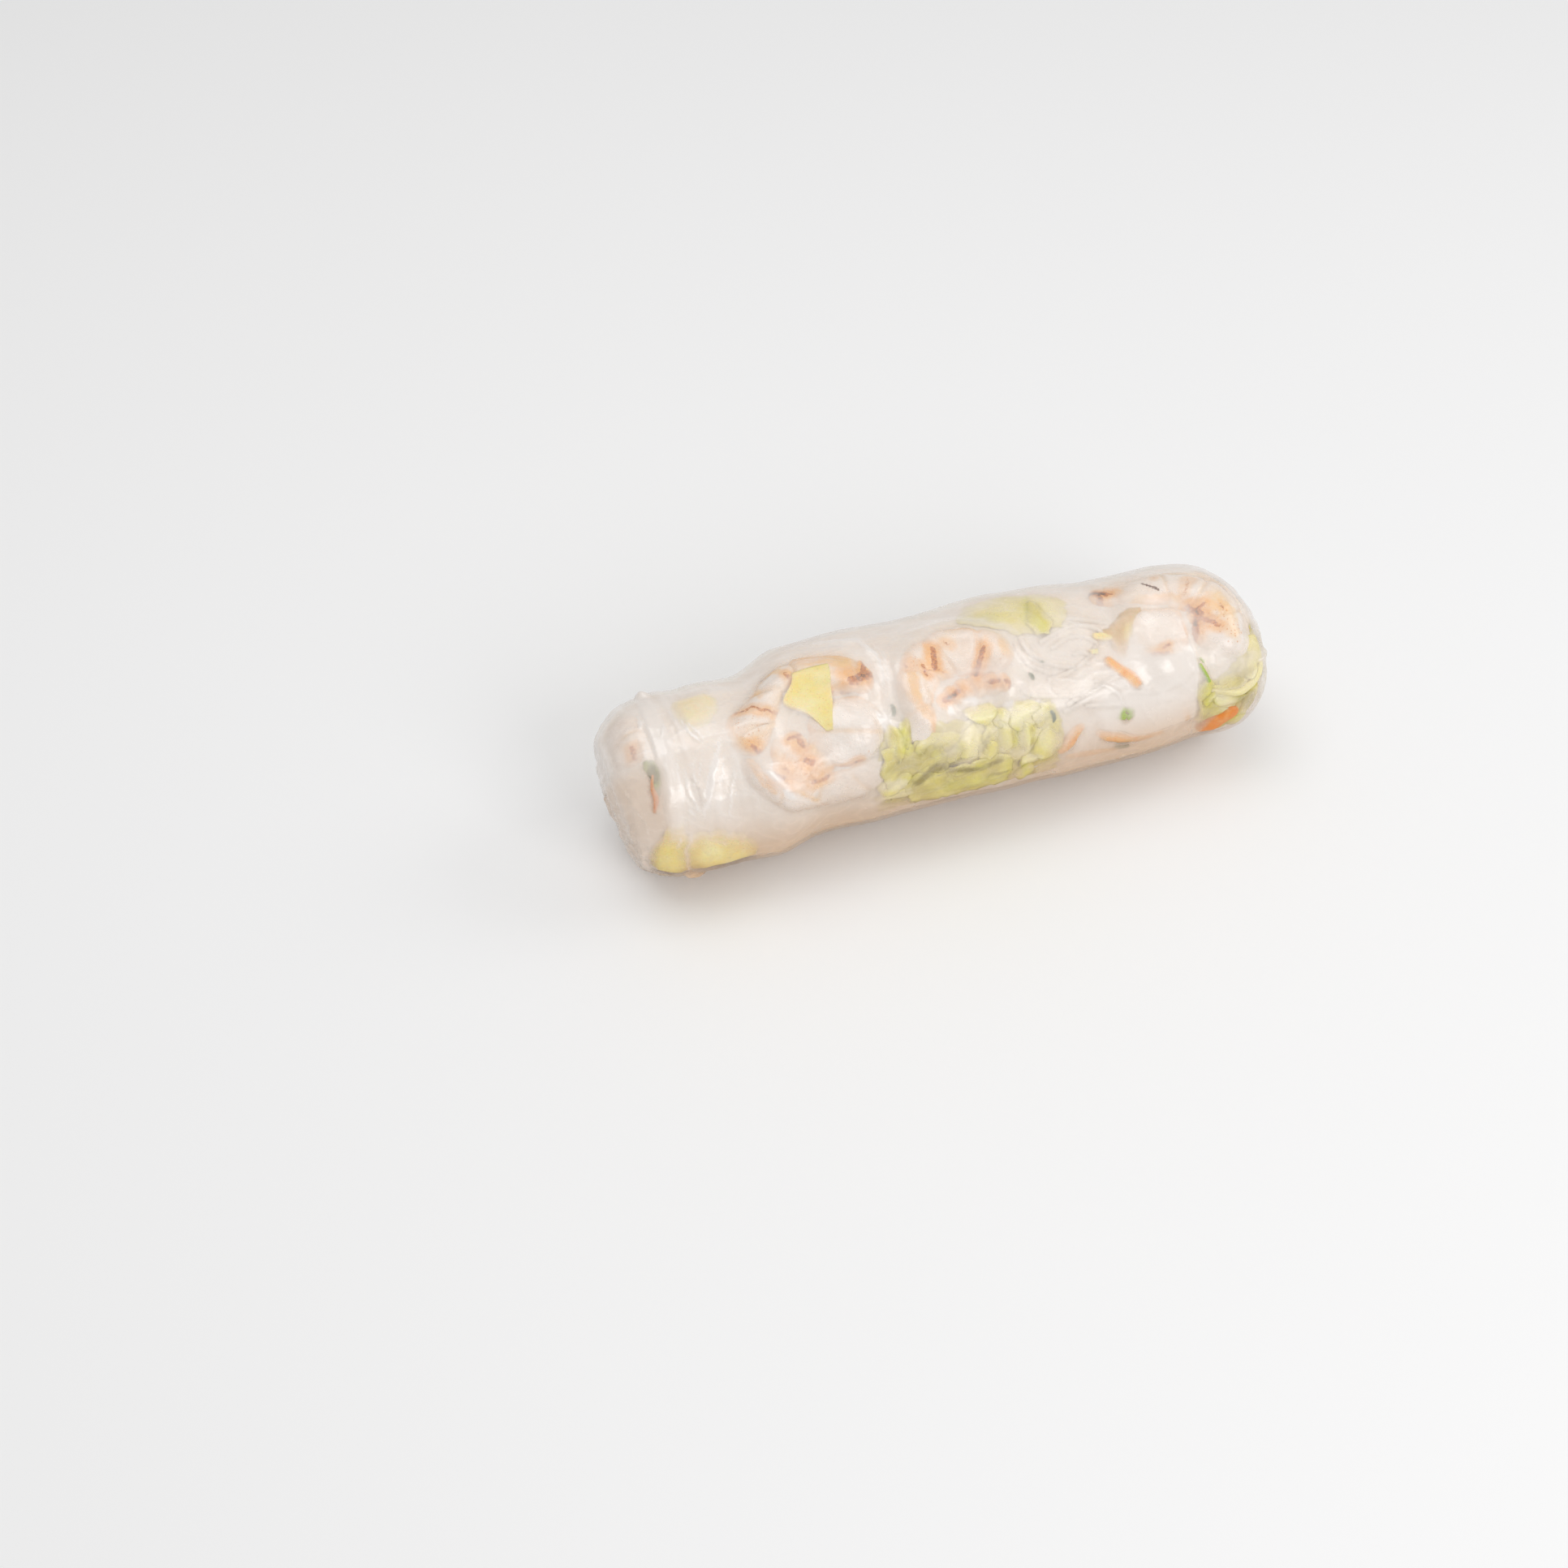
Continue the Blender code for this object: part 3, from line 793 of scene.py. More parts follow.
leafLook = {
    "cream": tone(250, 241, 192),
    "pale": tone(235, 222, 130),
    "olive": tone(204, 187, 86),
    "lime": tone(224, 217, 92),
    "deep": tone(146, 130, 50),
}
leafMarks = {
    "cream": [
        ([(-18, 7), (-14.4, 5)], 2.0, 0.8),
        ([(1.6, 40), (6.5, 38)], 2.2, 0.9),
        ([(2.4, 31), (1.2, 14)], 2.4, 0.6),
        ([(11.0, 32), (16.6, 31)], 3.4, 1.0),
        ([(13.4, 24), (13.6, 8)], 1.6, 0.6),
        ([(17.2, 17), (20.6, 4)], 3.0, 0.6),
        ([(8.4, 34), (9.4, 30)], 1.8, 0.8),
        ([(14.0, 1), (16.8, -2)], 1.8, 0.6),
        ([(-18.6, -4), (-13, -2)], 1.6, 0.5),
        ([(-9.6, 32), (-2.7, 30)], 2.0, 0.45),
        ([(8.2, 26), (9.4, 12)], 1.8, 0.45),
        ([(27.2, 124), (28.4, 104), (27.8, 90)], 3.6, 0.8),
        ([(11.3, 123), (18.2, 108)], 4.0, 0.6),
        ([(21.6, 92), (23.0, 86), (23.6, 79)], 2.4, 0.35),
        ([(59.6, 12), (64, 10.5), (66, 15), (69, 18), (71, 20)], 1.2, 0.9),
        ([(59.6, 8), (61.4, 0)], 2.4, 0.8),
        ([(-62, 196), (-46, 187), (-26, 190)], 1.5, 0.8),
        ([(-50, 189), (-44, 204)], 0.9, 0.6),
        ([(-42, 187), (-36, 172)], 0.9, 0.6),
        ([(4, 182), (22, 190), (44, 186)], 1.5, 0.8),
        ([(16, 188), (12, 204)], 0.9, 0.6),
        ([(26, 189), (32, 172)], 0.9, 0.6),
    ],
    "lime": [
        ([(-13.2, 45), (-12.6, 37), (-12.4, 28)], 1.7, 0.9),
        ([(-15.2, 34), (-14.8, 29)], 1.4, 0.5),
        ([(-6.6, 22), (-6.2, 19)], 1.2, 0.8),
        ([(-0.9, 24), (-1.6, 20)], 1.0, 0.7),
        ([(1.4, 36), (4.4, 34)], 0.8, 0.8),
        ([(12.0, 27), (11.8, 20), (11.3, 14)], 0.9, 1.0),
        ([(16.8, 33), (19.6, 28)], 2.0, 0.8),
        ([(13.6, -6), (14.5, -14), (15.5, -20)], 1.2, 0.8),
        ([(2.4, 6), (4.4, 4)], 1.0, 0.6),
        ([(-16.4, 9), (-12.6, 9)], 0.8, 0.5),
        ([(-3.8, -6), (3.2, -8), (8.6, -11)], 2.4, 0.5),
        ([(15.9, 22), (16.2, 14)], 0.8, 0.6),
        ([(21.6, 92), (23.0, 86), (23.6, 79)], 2.8, 0.8),
        ([(24.9, 119), (23.6, 108), (22.2, 98), (21.2, 93)], 1.0, 0.9),
        ([(9.1, 109), (14.9, 98)], 2.4, 0.35),
        ([(56.4, 18), (58.0, 10), (57.4, -10)], 3.0, 0.8),
        ([(63.0, -12), (66.4, -26)], 2.6, 0.9),
        ([(-58, 206), (-40, 210)], 3.0, 0.6),
        ([(-54, 170), (-40, 166)], 3.0, 0.5),
        ([(14, 206), (34, 208)], 3.0, 0.6),
        ([(8, 168), (26, 162)], 3.0, 0.5),
    ],
    "deep": [
        ([(-10.8, 3.5), (-9, 8), (-7, 12), (-5, 11), (-3, 8)], 1.5, 0.85),
        ([(-3, 8), (1, 4), (4, 4), (7.5, 6)], 1.1, 0.8),
        ([(5.4, 24), (3.6, 16)], 0.8, 0.7),
        ([(5, -6), (9.4, -5.4)], 0.8, 0.6),
        ([(-3.8, -8), (3.2, -12)], 2.0, 0.35),
        ([(-11.3, 28), (-11.2, 40)], 0.6, 0.45),
        ([(15.2, 22), (15.0, 6)], 0.8, 0.5),
        ([(10.9, 26), (10.8, 10)], 0.6, 0.45),
        ([(11.4, 0), (13.0, -6)], 1.2, 0.5),
        ([(20.3, 29), (20.5, 24)], 0.9, 0.6),
        ([(-16.5, 18), (-10.6, 19)], 2.2, 0.35),
        ([(-8.6, 23), (-3.7, 18)], 2.4, 0.3),
        ([(57.5, 9), (57.2, 5)], 1.4, 0.5),
        ([(64.5, 6), (66.6, -6)], 3.0, 0.6),
        ([(61.7, 12), (64.3, 7)], 0.7, 0.5),
        ([(63.0, 22), (67.2, 18)], 2.0, 0.4),
        ([(-60, 184), (-48, 178), (-38, 180)], 1.6, 0.5),
        ([(-34, 200), (-28, 196)], 1.6, 0.5),
        ([(12, 196), (24, 200)], 1.6, 0.5),
        ([(30, 178), (42, 174)], 1.6, 0.5),
    ],
}


def makeLeafFinish():
    look = leafLook
    finish = Finish(
        "crisp_lettuce", Subsurface_Weight=0.25, Subsurface_Scale=0.002, Subsurface_Radius=(0.8, 1.0, 0.5), Coat_Roughness=0.15
    )
    fine = finish.grain(0.8, 3.0, 0.6)
    coarse = finish.grain(3.5, 2.0)
    veins = finish.between(finish.cells(2.6, "DISTANCE_TO_EDGE"), 0.0, 0.09)
    shade = (finish.paint("shade") + (coarse - 0.5) * 0.6 + (fine - 0.5) * 0.2).within(0, 1)
    colour = finish.blend(finish.between(shade, 0.1, 0.9), look["pale"], look["olive"])
    uneven = 0.75 + fine * 0.5
    colour = finish.blend((finish.paint("deep") * uneven).within(0, 1), colour, look["deep"])
    colour = finish.blend((finish.paint("lime") * uneven).within(0, 1), colour, look["lime"])
    colour = finish.blend((finish.paint("cream") * uneven).within(0, 1), colour, look["cream"])
    colour = finish.blend((1 - veins) * 0.1, colour, look["cream"])
    colour = finish.blend(finish.paint("edge") * 0.3, colour, look["lime"])
    relief = finish.bump(fine * 0.6 + veins * 0.4, 0.2, 0.4)
    return finish.wire(Base_Color=colour, Roughness=0.3 + fine * 0.15, Coat_Weight=0.3 + coarse * 0.3, Normal=relief)


leafFinish = makeLeafFinish()

# Each bit: mm along, degrees round, half length, half width, way it points, curl, depth, how dark, thickness.
frontLeaf = {
    "sheets": {
        "backing": {"left": [(-18.8, 38), (-19.5, 9), (-17.4, -33)], "right": [(20.7, 37), (22.6, 9), (21.7, -32)],
                    "depth": 1.5, "ruffle": 0.4, "shade": 0.5, "ragged": 0.8, "wall": 0.5},
        "left": {"left": [(-18, 33), (-18.3, 11), (-16.5, -8)], "right": [(-4.8, 30), (-3.7, 11), (-2.8, -5)],
                 "depth": 0.8, "ruffle": 0.4, "shade": 0.5, "ragged": 0.8, "wall": 0.4, "ruffleSize": 4.0, "seed": 3.0},
        "low": {"left": [(-12.5, 10), (-13.5, -1), (-11.4, -19)], "right": [(9.5, 9), (10.6, -2), (9.8, -19)],
                "depth": 0.6, "ruffle": 0.35, "shade": 0.5, "ragged": 0.8, "wall": 0.4, "ruffleSize": 4.0, "seed": 7.0},
        "right": {"left": [(5.6, 35), (4.3, 18), (5.3, 2)], "right": [(19.7, 35), (21.6, 17), (21.1, -1)],
                  "depth": 1.0, "ruffle": 0.3, "shade": 0.35, "ragged": 0.6, "wall": 0.4, "ruffleSize": 4.0, "seed": 5.0},
    },
    "scraps": [
        (-5.4, 27, 5.4, 3.0, 2, 0.8, 0.9, 0.2),
        (-14.6, 32, 4.4, 2.0, 86, 0.7, 0.8, 0.45),
        (-12.4, 38, 3.4, 1.4, 84, 0.6, 0.7, 0.55),
        (4.6, 38.5, 3.4, 2.2, -16, 0.8, 0.6, 0.05),
        (8.9, 21, 3.9, 2.3, 88, 0.9, 0.5, 0.12),
        (9.0, 33, 2.2, 1.9, 60, 0.6, 0.6, 0.0),
        (13.9, 31, 3.9, 3.2, 4, 0.8, 0.5, 0.0),
        (13.6, 17, 3.8, 2.0, 84, 0.8, 0.5, 0.06),
        (18.4, 29, 3.0, 2.6, 40, 0.8, 0.7, 0.3),
        (18.8, 9, 4.6, 3.6, 84, 1.0, 0.45, 0.08),
        (5.0, 13, 2.9, 2.3, 84, 0.8, 0.6, 0.25),
        (15.3, -2, 3.2, 2.6, 20, 0.9, 0.6, 0.1),
        (14.6, -14, 3.2, 2.0, 80, 0.8, 0.8, 0.3),
        (-16.0, 5, 3.8, 2.6, 24, 0.8, 0.6, 0.05),
        (-15.6, -4, 4.2, 1.8, 2, 0.8, 0.7, 0.1),
        (-8.3, 9, 5.0, 2.0, 20, 0.7, 0.9, 0.6),
        (2.6, 3, 5.4, 1.7, 0, 0.7, 0.9, 0.5),
        (-6.1, -5, 6.0, 2.4, 6, 0.9, 0.8, 0.4),
        (4.7, -7, 5.6, 2.2, -8, 0.9, 0.8, 0.35),
        (-2.3, 17, 3.0, 1.8, 30, 0.7, 1.0, 0.5),
        (1.6, 23, 3.8, 3.0, 66, 0.8, 0.9, 0.0),
    ],
}
topLeaf = {
    "broad": {"left": [(6.6, 136), (7.4, 114), (10.4, 99), (15.6, 89), (18.6, 82)], "right": [(33.4, 130), (32.2, 111), (31.1, 98), (30, 90), (28, 81)],
              "depth": 0.7, "ruffle": 0.25, "shade": 0.0, "ragged": 0.7, "wall": 0.5, "sink": 0.8},
    "folded": {"left": [(23.9, 111), (21.7, 98), (20.8, 89), (22.2, 79)], "right": [(25.9, 110), (26.5, 98), (26.9, 87), (25, 78)],
               "depth": 0.45, "ruffle": 0.15, "shade": 0.36, "ragged": 0.3, "wall": 0.5, "curl": 0.5},
}
endLeaf = {
    "sheets": {
        "cap": {"left": [(58.2, 18), (59.4, -6), (61.4, -36)], "right": [(79, 62), (80, 0), (79, -50)],
                "depth": 1.5, "ruffle": 0.35, "shade": 0.55, "ragged": 0.5, "wall": 0.5, "seed": 12.0},
        "inner": {"left": [(54.9, 20), (55, 5), (56.4, -22)], "right": [(61.1, 16), (62.5, -1), (62.3, -25)],
                  "depth": 1.1, "ruffle": 0.35, "shade": 0.3, "ragged": 0.4, "wall": 0.5, "ruffleSize": 3.5, "seed": 15.0},
    },
    "scraps": [
        (56.7, 11, 4.0, 2.2, 88, 1.0, 0.9, 0.4),
        (57.7, 7, 2.2, 1.5, 70, 0.8, 0.55, 0.62),
        (61.7, 4, 3.4, 1.6, -6, 0.8, 0.7, 0.04),
        (67.2, -7, 5.4, 2.6, 84, 1.2, 1.0, 0.62),
        (65.3, -27, 2.6, 2.0, 60, 1.0, 0.8, 0.55),
        (58.4, -10, 3.8, 2.8, 60, 1.2, 1.0, 0.46),
        (70.2, 32, 4.4, 2.6, 84, 0.6, 1.3, 0.0, 0.5),
        (63.3, 18, 3.8, 2.4, 30, 0.8, 1.4, 0.36),
        (67.8, 22, 3.0, 1.8, 70, 0.8, 0.9, 0.16),
        (72, 20, 5.0, 3.0, 84, 1.2, 1.2, 0.5),
        (72, -10, 4.0, 3.0, 70, 1.2, 1.3, 0.6),
        (61.9, -35, 4.0, 2.6, 10, 1.2, 1.5, 0.5),
    ],
    "rib": [(57.7, 14, 0.5, 1.0, 0.8), (60.6, 11, 0.8, 1.4, 0.6), (63.4, 9, 0.9, 1.4, 0.5), (66.1, 11, 0.9, 1.4, 0.45),
            (69.1, 14, 0.9, 1.4, 0.45), (71.1, 21, 0.6, 1.0, 0.6)],
}
backLeaf = {
    "left": {"left": [(-60, 216), (-66, 204), (-60, 192), (-65, 178), (-55, 158)],
             "right": [(-34, 215), (-22, 202), (-27, 188), (-18, 174), (-32, 160)],
             "depth": 0.7, "ruffle": 0.45, "shade": 0.4, "ragged": 1.0, "wall": 0.5, "seed": 4.0, "ruffleSize": 5.0, "sink": 0.9},
    "right": {"left": [(10, 212), (1, 200), (6, 188), (-1, 172), (9, 152)],
              "right": [(38, 214), (48, 200), (40, 186), (49, 172), (36, 156)],
              "depth": 0.7, "ruffle": 0.45, "shade": 0.36, "ragged": 1.0, "wall": 0.5, "seed": 9.0, "ruffleSize": 5.0, "sink": 0.9},
    "scraps": [
        (-14, 190, 5.0, 2.6, 20, 1.2, 1.2, 0.1),
        (-8, 172, 4.0, 2.2, 70, 1.0, 1.4, 0.4),
        (-16, 158, 4.6, 2.2, -20, 1.0, 1.5, 0.2),
        (52, 176, 4.6, 2.6, 80, 1.2, 1.2, 0.1),
        (58, 160, 4.0, 2.2, 40, 1.0, 1.2, 0.45),
        (-50, 226, 5.0, 2.4, 10, 1.0, 1.4, 0.1),
        (24, 222, 5.0, 2.4, -10, 1.0, 1.4, 0.15),
        (66, 190, 4.4, 2.6, 80, 1.0, 1.3, 0.4),
        (-68, 186, 4.4, 2.6, 80, 1.0, 1.3, 0.3),
    ],
}


def makeRib(name, body, material, shade, square=1.0):
    shape = bmesh.new()
    path, length = smoothPath(body)
    bmesh.ops.create_uvsphere(shape, u_segments=20, v_segments=int(max(20, length / 0.3)), radius=1.0)
    ball = vertexTable(shape)
    share = np.arccos(np.clip(-ball[:, 2], -1, 1)) / math.pi
    turn = np.arctan2(ball[:, 1], ball[:, 0])
    at = share * (len(path) - 1)
    row = np.clip(np.floor(at).astype(int), 0, len(path) - 2)
    part = (at - row)[:, None]
    x, arc, half, thick, depth = (path[row] * (1 - part) + path[row + 1] * part).T
    heading = path[np.clip(row + 2, 0, len(path) - 1)] - path[np.clip(row - 2, 0, len(path) - 1)]
    heading = heading[:, :2] / np.maximum(np.hypot(heading[:, 0], heading[:, 1]), 1e-9)[:, None]
    cap = np.sqrt(np.clip(1 - np.clip(1 - np.minimum(share, 1 - share) * length / half, 0, 1) ** 2, 0, 1))
    cap = cap**square
    side = half * cap * np.sign(np.cos(turn)) * np.abs(np.cos(turn)) ** square
    upward = np.sign(np.sin(turn)) * np.abs(np.sin(turn)) ** square
    x, arc = x - heading[:, 1] * side, arc + heading[:, 0] * side
    depth = depth + thick / 2 * (1 - cap * upward)
    points = onRoll(x, arc / arcPerDegree, depth)
    wobble = unevenness(points, 1.6, 2.0)
    paints = {"shade": np.clip(shade + 0.1 * wobble, 0, 1), "edge": 0 * x, "cream": 0 * x + 0.5}
    return finishPiece(name, shape, onRoll(x, arc / arcPerDegree, depth + 0.1 * wobble), paints, material)


bits = [makeScrap(f"bit{i}", spec, leafFinish, leafMarks) for i, spec in enumerate(frontLeaf["scraps"])]
bits += [makeSheet(name, spec, leafFinish, leafMarks) for name, spec in frontLeaf["sheets"].items()]
contents.append(joinPieces("lettuce_front", bits, leafFinish))
bits = [makeSheet(name, topLeaf[name], leafFinish, leafMarks) for name in ("broad", "folded")]
contents.append(joinPieces("lettuce_top", bits, leafFinish))
bits = [makeScrap(f"bit{i}", spec, leafFinish, leafMarks) for i, spec in enumerate(endLeaf["scraps"])]
bits += [makeSheet(name, spec, leafFinish, leafMarks) for name, spec in endLeaf["sheets"].items()]
bits.append(makeRib("rib", endLeaf["rib"], leafFinish, 0.12))
contents.append(joinPieces("lettuce_end", bits, leafFinish))
bits = [makeSheet(name, backLeaf[name], leafFinish, leafMarks) for name in ("left", "right")]
bits += [makeScrap(f"bit{i}", spec, leafFinish) for i, spec in enumerate(backLeaf["scraps"])]
contents.append(joinPieces("lettuce_back", bits, leafFinish))
print("lettuce made")

# ---- omelette

omelette = {
    "skin": tone(249, 223, 138),
    "pale": tone(251, 234, 176),
    "brown": tone(216, 176, 100),
    "over_shrimp": {"left": [(-31.6, 92), (-32.6, 86), (-35.2, 80), (-35.2, 76), (-31.4, 64), (-28.6, 50)],
                    "right": [(-23.6, 91.5), (-24.0, 85), (-24.8, 77), (-25.4, 68), (-26.6, 58), (-27.4, 50)],
                    "depth": 0.3, "ruffle": 0.06, "wall": 0.9, "shade": 0.3, "step": 0.4},
    "left_corner": {"left": [(-65.8, 18), (-68.4, 4), (-69.8, -10), (-69.2, -26), (-67.0, -46)],
                    "right": [(-63.2, 17), (-61.8, 4), (-61.0, -10), (-61.4, -26), (-61.8, -46)],
                    "depth": 0.5, "ruffle": 0.2, "wall": 1.0, "shade": 0.5, "step": 0.5, "ragged": 0.4, "sink": 0.45},
    "left_low": {"left": [(-62.4, 6), (-64.6, -8), (-62.0, -22), (-58.6, -38)],
                 "right": [(-53.6, 4), (-48.8, -6), (-46.6, -18), (-47.0, -34)],
                 "depth": 0.5, "ruffle": 0.2, "wall": 1.0, "shade": 0.3, "step": 0.5, "ragged": 0.5, "sink": 0.45},
    "left_high": {"left": [(-58.4, 122), (-58.0, 100), (-56.4, 80)], "right": [(-48.0, 124), (-47.8, 100), (-51.6, 82)],
                  "depth": 0.9, "ruffle": 0.15, "wall": 1.0, "shade": 0.0, "step": 0.5, "sink": 0.8},
    "by_block": {"left": [(33.6, 71), (33.6, 67.5), (36, 65)], "right": [(36.0, 70.5), (37.4, 68), (37.6, 65.5)],
                 "depth": 0.6, "ruffle": 0.05, "wall": 0.8, "shade": 0.3, "step": 0.3},
    "by_block_low": {"left": [(31.6, 61), (32.0, 58)], "right": [(33.6, 60.5), (33.4, 57.5)],
                     "depth": 0.8, "ruffle": 0.05, "wall": 0.8, "shade": 0.3, "step": 0.3},
    # The gap sheet is a dark brown-olive sliver laid in the gap beside the shrimp block.
    "gap": {"left": [(43.4, 87), (38.6, 76.5), (35.2, 71.5), (36.8, 65), (38.2, 51)],
            "right": [(46.4, 86), (45.6, 77), (43.0, 71), (41.2, 64), (39.6, 51)],
            "depth": 0.95, "ruffle": 0.15, "wall": 0.8, "shade": 0.95, "step": 0.4, "ragged": 0.5, "sink": 0.6},
}


def makeOmeletteFinish():
    finish = Finish("thin_omelette", Subsurface_Weight=0.2, Subsurface_Scale=0.003)
    fine = finish.grain(0.5, 2.0, 0.6)
    coarse = finish.grain(3.0, 3.0)
    pores = finish.between(finish.cells(0.9), 0.25, 0.1)
    shade = (finish.paint("shade") + (coarse - 0.5) * 0.5).within(0, 1)
    colour = finish.blend(finish.between(shade, 0.0, 0.5), omelette["pale"], omelette["skin"])
    colour = finish.blend(finish.between(shade, 0.7, 0.95), colour, omelette["brown"])
    colour = finish.blend(pores * 0.25, colour, omelette["brown"])
    return finish.wire(Base_Color=colour, Roughness=0.4 + fine * 0.2, Normal=finish.bump(fine - pores * 0.5, 0.15, 0.5))


omeletteFinish = makeOmeletteFinish()
sheets = [makeSheet(name, spec, omeletteFinish) for name, spec in omelette.items() if isinstance(spec, dict)]
contents.append(joinPieces("omelette", sheets, omeletteFinish))
print("omelette made")

# ---- carrot shreds and herbs: mm along, degrees, half width, thickness, depth

carrot = {
    "colour": tone(238, 138, 20),
    "pale": tone(250, 190, 118),
    "shreds": [
        [(34.6, 54, 0.9, 1.5, 0.5), (36.8, 46, 1.2, 1.6, 0.4), (39.2, 39, 1.4, 1.6, 0.4), (40.8, 31, 1.1, 1.5, 0.5)],
        [(62.6, -2, 0.9, 1.8, 0.35), (62.0, -9, 1.6, 2.0, 0.28), (60.0, -17, 2.2, 2.0, 0.28), (58.6, -34, 2.2, 2.0, 0.4)],
        [(-67.0, 57, 0.25, 0.9, 1.0), (-67.7, 47, 0.42, 1.0, 0.85), (-67.4, 38, 0.5, 1.0, 0.7), (-68.2, 28, 0.25, 0.9, 0.8)],
        [(27.4, 15, 0.6, 1.4, 0.9), (25.0, 10, 1.3, 1.4, 0.75), (23.6, 2, 1.2, 1.4, 0.8), (21.6, -4, 0.6, 1.4, 1.0)],
        [(30.6, 5, 0.6, 1.4, 0.9), (33.6, -2, 1.2, 1.4, 0.7), (38.8, -8, 1.3, 1.4, 0.8), (44.0, -9, 0.6, 1.4, 1.0)],
        [(51.6, 3, 0.7, 1.2, 1.0), (52.2, -3, 0.9, 1.2, 1.0), (53.0, -9, 0.7, 1.2, 1.0)],
        [(36.0, -12, 0.9, 1.4, 1.8), (42.0, -15, 1.1, 1.4, 1.6), (49.0, -17, 1.0, 1.4, 1.8)],
        [(24.0, -14, 0.9, 1.4, 1.8), (30.0, -18, 1.1, 1.4, 1.6), (38.0, -24, 1.0, 1.4, 1.8)],
        [(-30, 170, 0.9, 1.3, 1.0), (-22, 160, 1.0, 1.4, 0.8), (-14, 148, 0.8, 1.3, 1.0)],
        [(44, 196, 0.9, 1.3, 1.0), (52, 202, 1.0, 1.4, 0.8), (59, 204, 0.8, 1.3, 1.0)],
        [(-4, 212, 0.9, 1.3, 1.0), (2, 204, 1.0, 1.4, 0.8), (6, 190, 0.8, 1.3, 1.0)],
    ],
}
herb = {
    "bright": tone(166, 196, 58),
    "dark": tone(58, 92, 34),
    "stems": [
        [(54.9, 36.5, 0.5, 0.7, 0.35), (55.7, 31, 0.45, 0.7, 0.3), (56.5, 26, 0.45, 0.7, 0.3), (57.3, 21, 0.4, 0.6, 0.35)],
        [(55.4, 40, 0.25, 0.5, 0.5), (56.2, 36, 0.25, 0.5, 0.5)],
        [(17.0, 55, 0.3, 0.6, 0.7), (17.6, 53, 0.5, 0.6, 0.6), (17.8, 50, 0.3, 0.6, 0.7)],
        [(20.4, 60.4, 0.3, 0.5, 0.4), (21.2, 59.6, 0.3, 0.5, 0.4)],
        [(37.5, 34.6, 0.25, 0.5, 0.3), (37.9, 33.6, 0.25, 0.5, 0.3)],
        [(20.0, 30, 0.35, 0.6, 0.7), (20.6, 25, 0.4, 0.6, 0.7), (20.0, 21, 0.3, 0.6, 0.8)],
        [(35.6, -15, 0.4, 0.6, 0.9), (37.6, -18, 0.6, 0.6, 0.9), (39.4, -18.6, 0.4, 0.6, 1.0)],
        [(-13.6, 58, 0.35, 0.5, 0.7), (-13.4, 54, 0.5, 0.6, 0.6), (-13.9, 50, 0.35, 0.5, 0.7)],
    ],
    "darkFrom": 2,
    "leaves": {
        "leaf": {"left": [(36.2, 20.8), (34.6, 18.8), (35.6, 16.8), (34.2, 14.2), (35.8, 12.2)],
                 "right": [(36.6, 20.6), (37.2, 18.4), (36.7, 16.6), (37.2, 14.2), (36.6, 11.8)],
                 "depth": 0.28, "ruffle": 0.1, "wall": 0.3, "shade": 0.0, "step": 0.22, "ruffleSize": 1.5, "ragged": 0.2},
        "lobe": {"left": [(37.6, 18.8), (37.0, 16.8), (37.5, 15.4), (37.0, 13.4), (37.4, 11.0)],
                 "right": [(38.2, 18.6), (39.4, 16.6), (38.2, 15.0), (39.2, 12.8), (37.8, 10.8)],
                 "depth": 0.3, "ruffle": 0.1, "wall": 0.3, "shade": 0.12, "step": 0.22, "ruffleSize": 1.5, "ragged": 0.2},
        "smear": {"left": [(-68.6, 70), (-68.9, 61), (-68.0, 52), (-67.3, 41)],
                  "right": [(-66.6, 70), (-65.0, 60), (-65.2, 51), (-66.4, 41)],
                  "depth": 1.0, "ruffle": 0.15, "wall": 0.4, "shade": 0.62, "step": 0.3, "ruffleSize": 2.0, "ragged": 0.6,
                  "sink": 0.6},
    },
}


def makeCarrotFinish():
    finish = Finish("shredded_carrot", Subsurface_Weight=0.2, Subsurface_Scale=0.003)
    fine = finish.grain(0.6, 2.0, 0.6)
    colour = finish.blend(finish.between(finish.grain(2.0) + finish.paint("shade") * 0.5, 0.5, 0.95), carrot["colour"], carrot["pale"])
    return finish.wire(Base_Color=colour, Roughness=0.35 + fine * 0.2, Normal=finish.bump(fine, 0.2, 0.5))


def makeHerbFinish():
    finish = Finish("fresh_herb", Subsurface_Weight=0.1, Subsurface_Scale=0.002)
    fine = finish.grain(0.7, 2.0, 0.6)
    colour = finish.blend(finish.between(finish.paint("shade") + (fine - 0.5) * 0.4, 0.3, 0.8), herb["bright"], herb["dark"])
    return finish.wire(Base_Color=colour, Roughness=0.4 + fine * 0.2, Normal=finish.bump(fine, 0.1, 0.5))


carrotFinish = makeCarrotFinish()
herbFinish = makeHerbFinish()
shreds = [makeRib(f"shred{i}", body, carrotFinish, 1.0 if i in (0, 3, 4, 5, 6, 7) else 0.0, 0.5) for i, body in enumerate(carrot["shreds"])]
contents.append(joinPieces("carrot_shreds", shreds, carrotFinish))
stems = [makeRib(f"stem{i}", body, herbFinish, 1.0 if i >= herb["darkFrom"] else 0.1) for i, body in enumerate(herb["stems"])]
stems += [makeSheet(name, spec, herbFinish) for name, spec in herb["leaves"].items()]
contents.append(joinPieces("herbs", stems, herbFinish))
print("carrot and herbs made")

# ---- noodles: a packed core, and strands over it

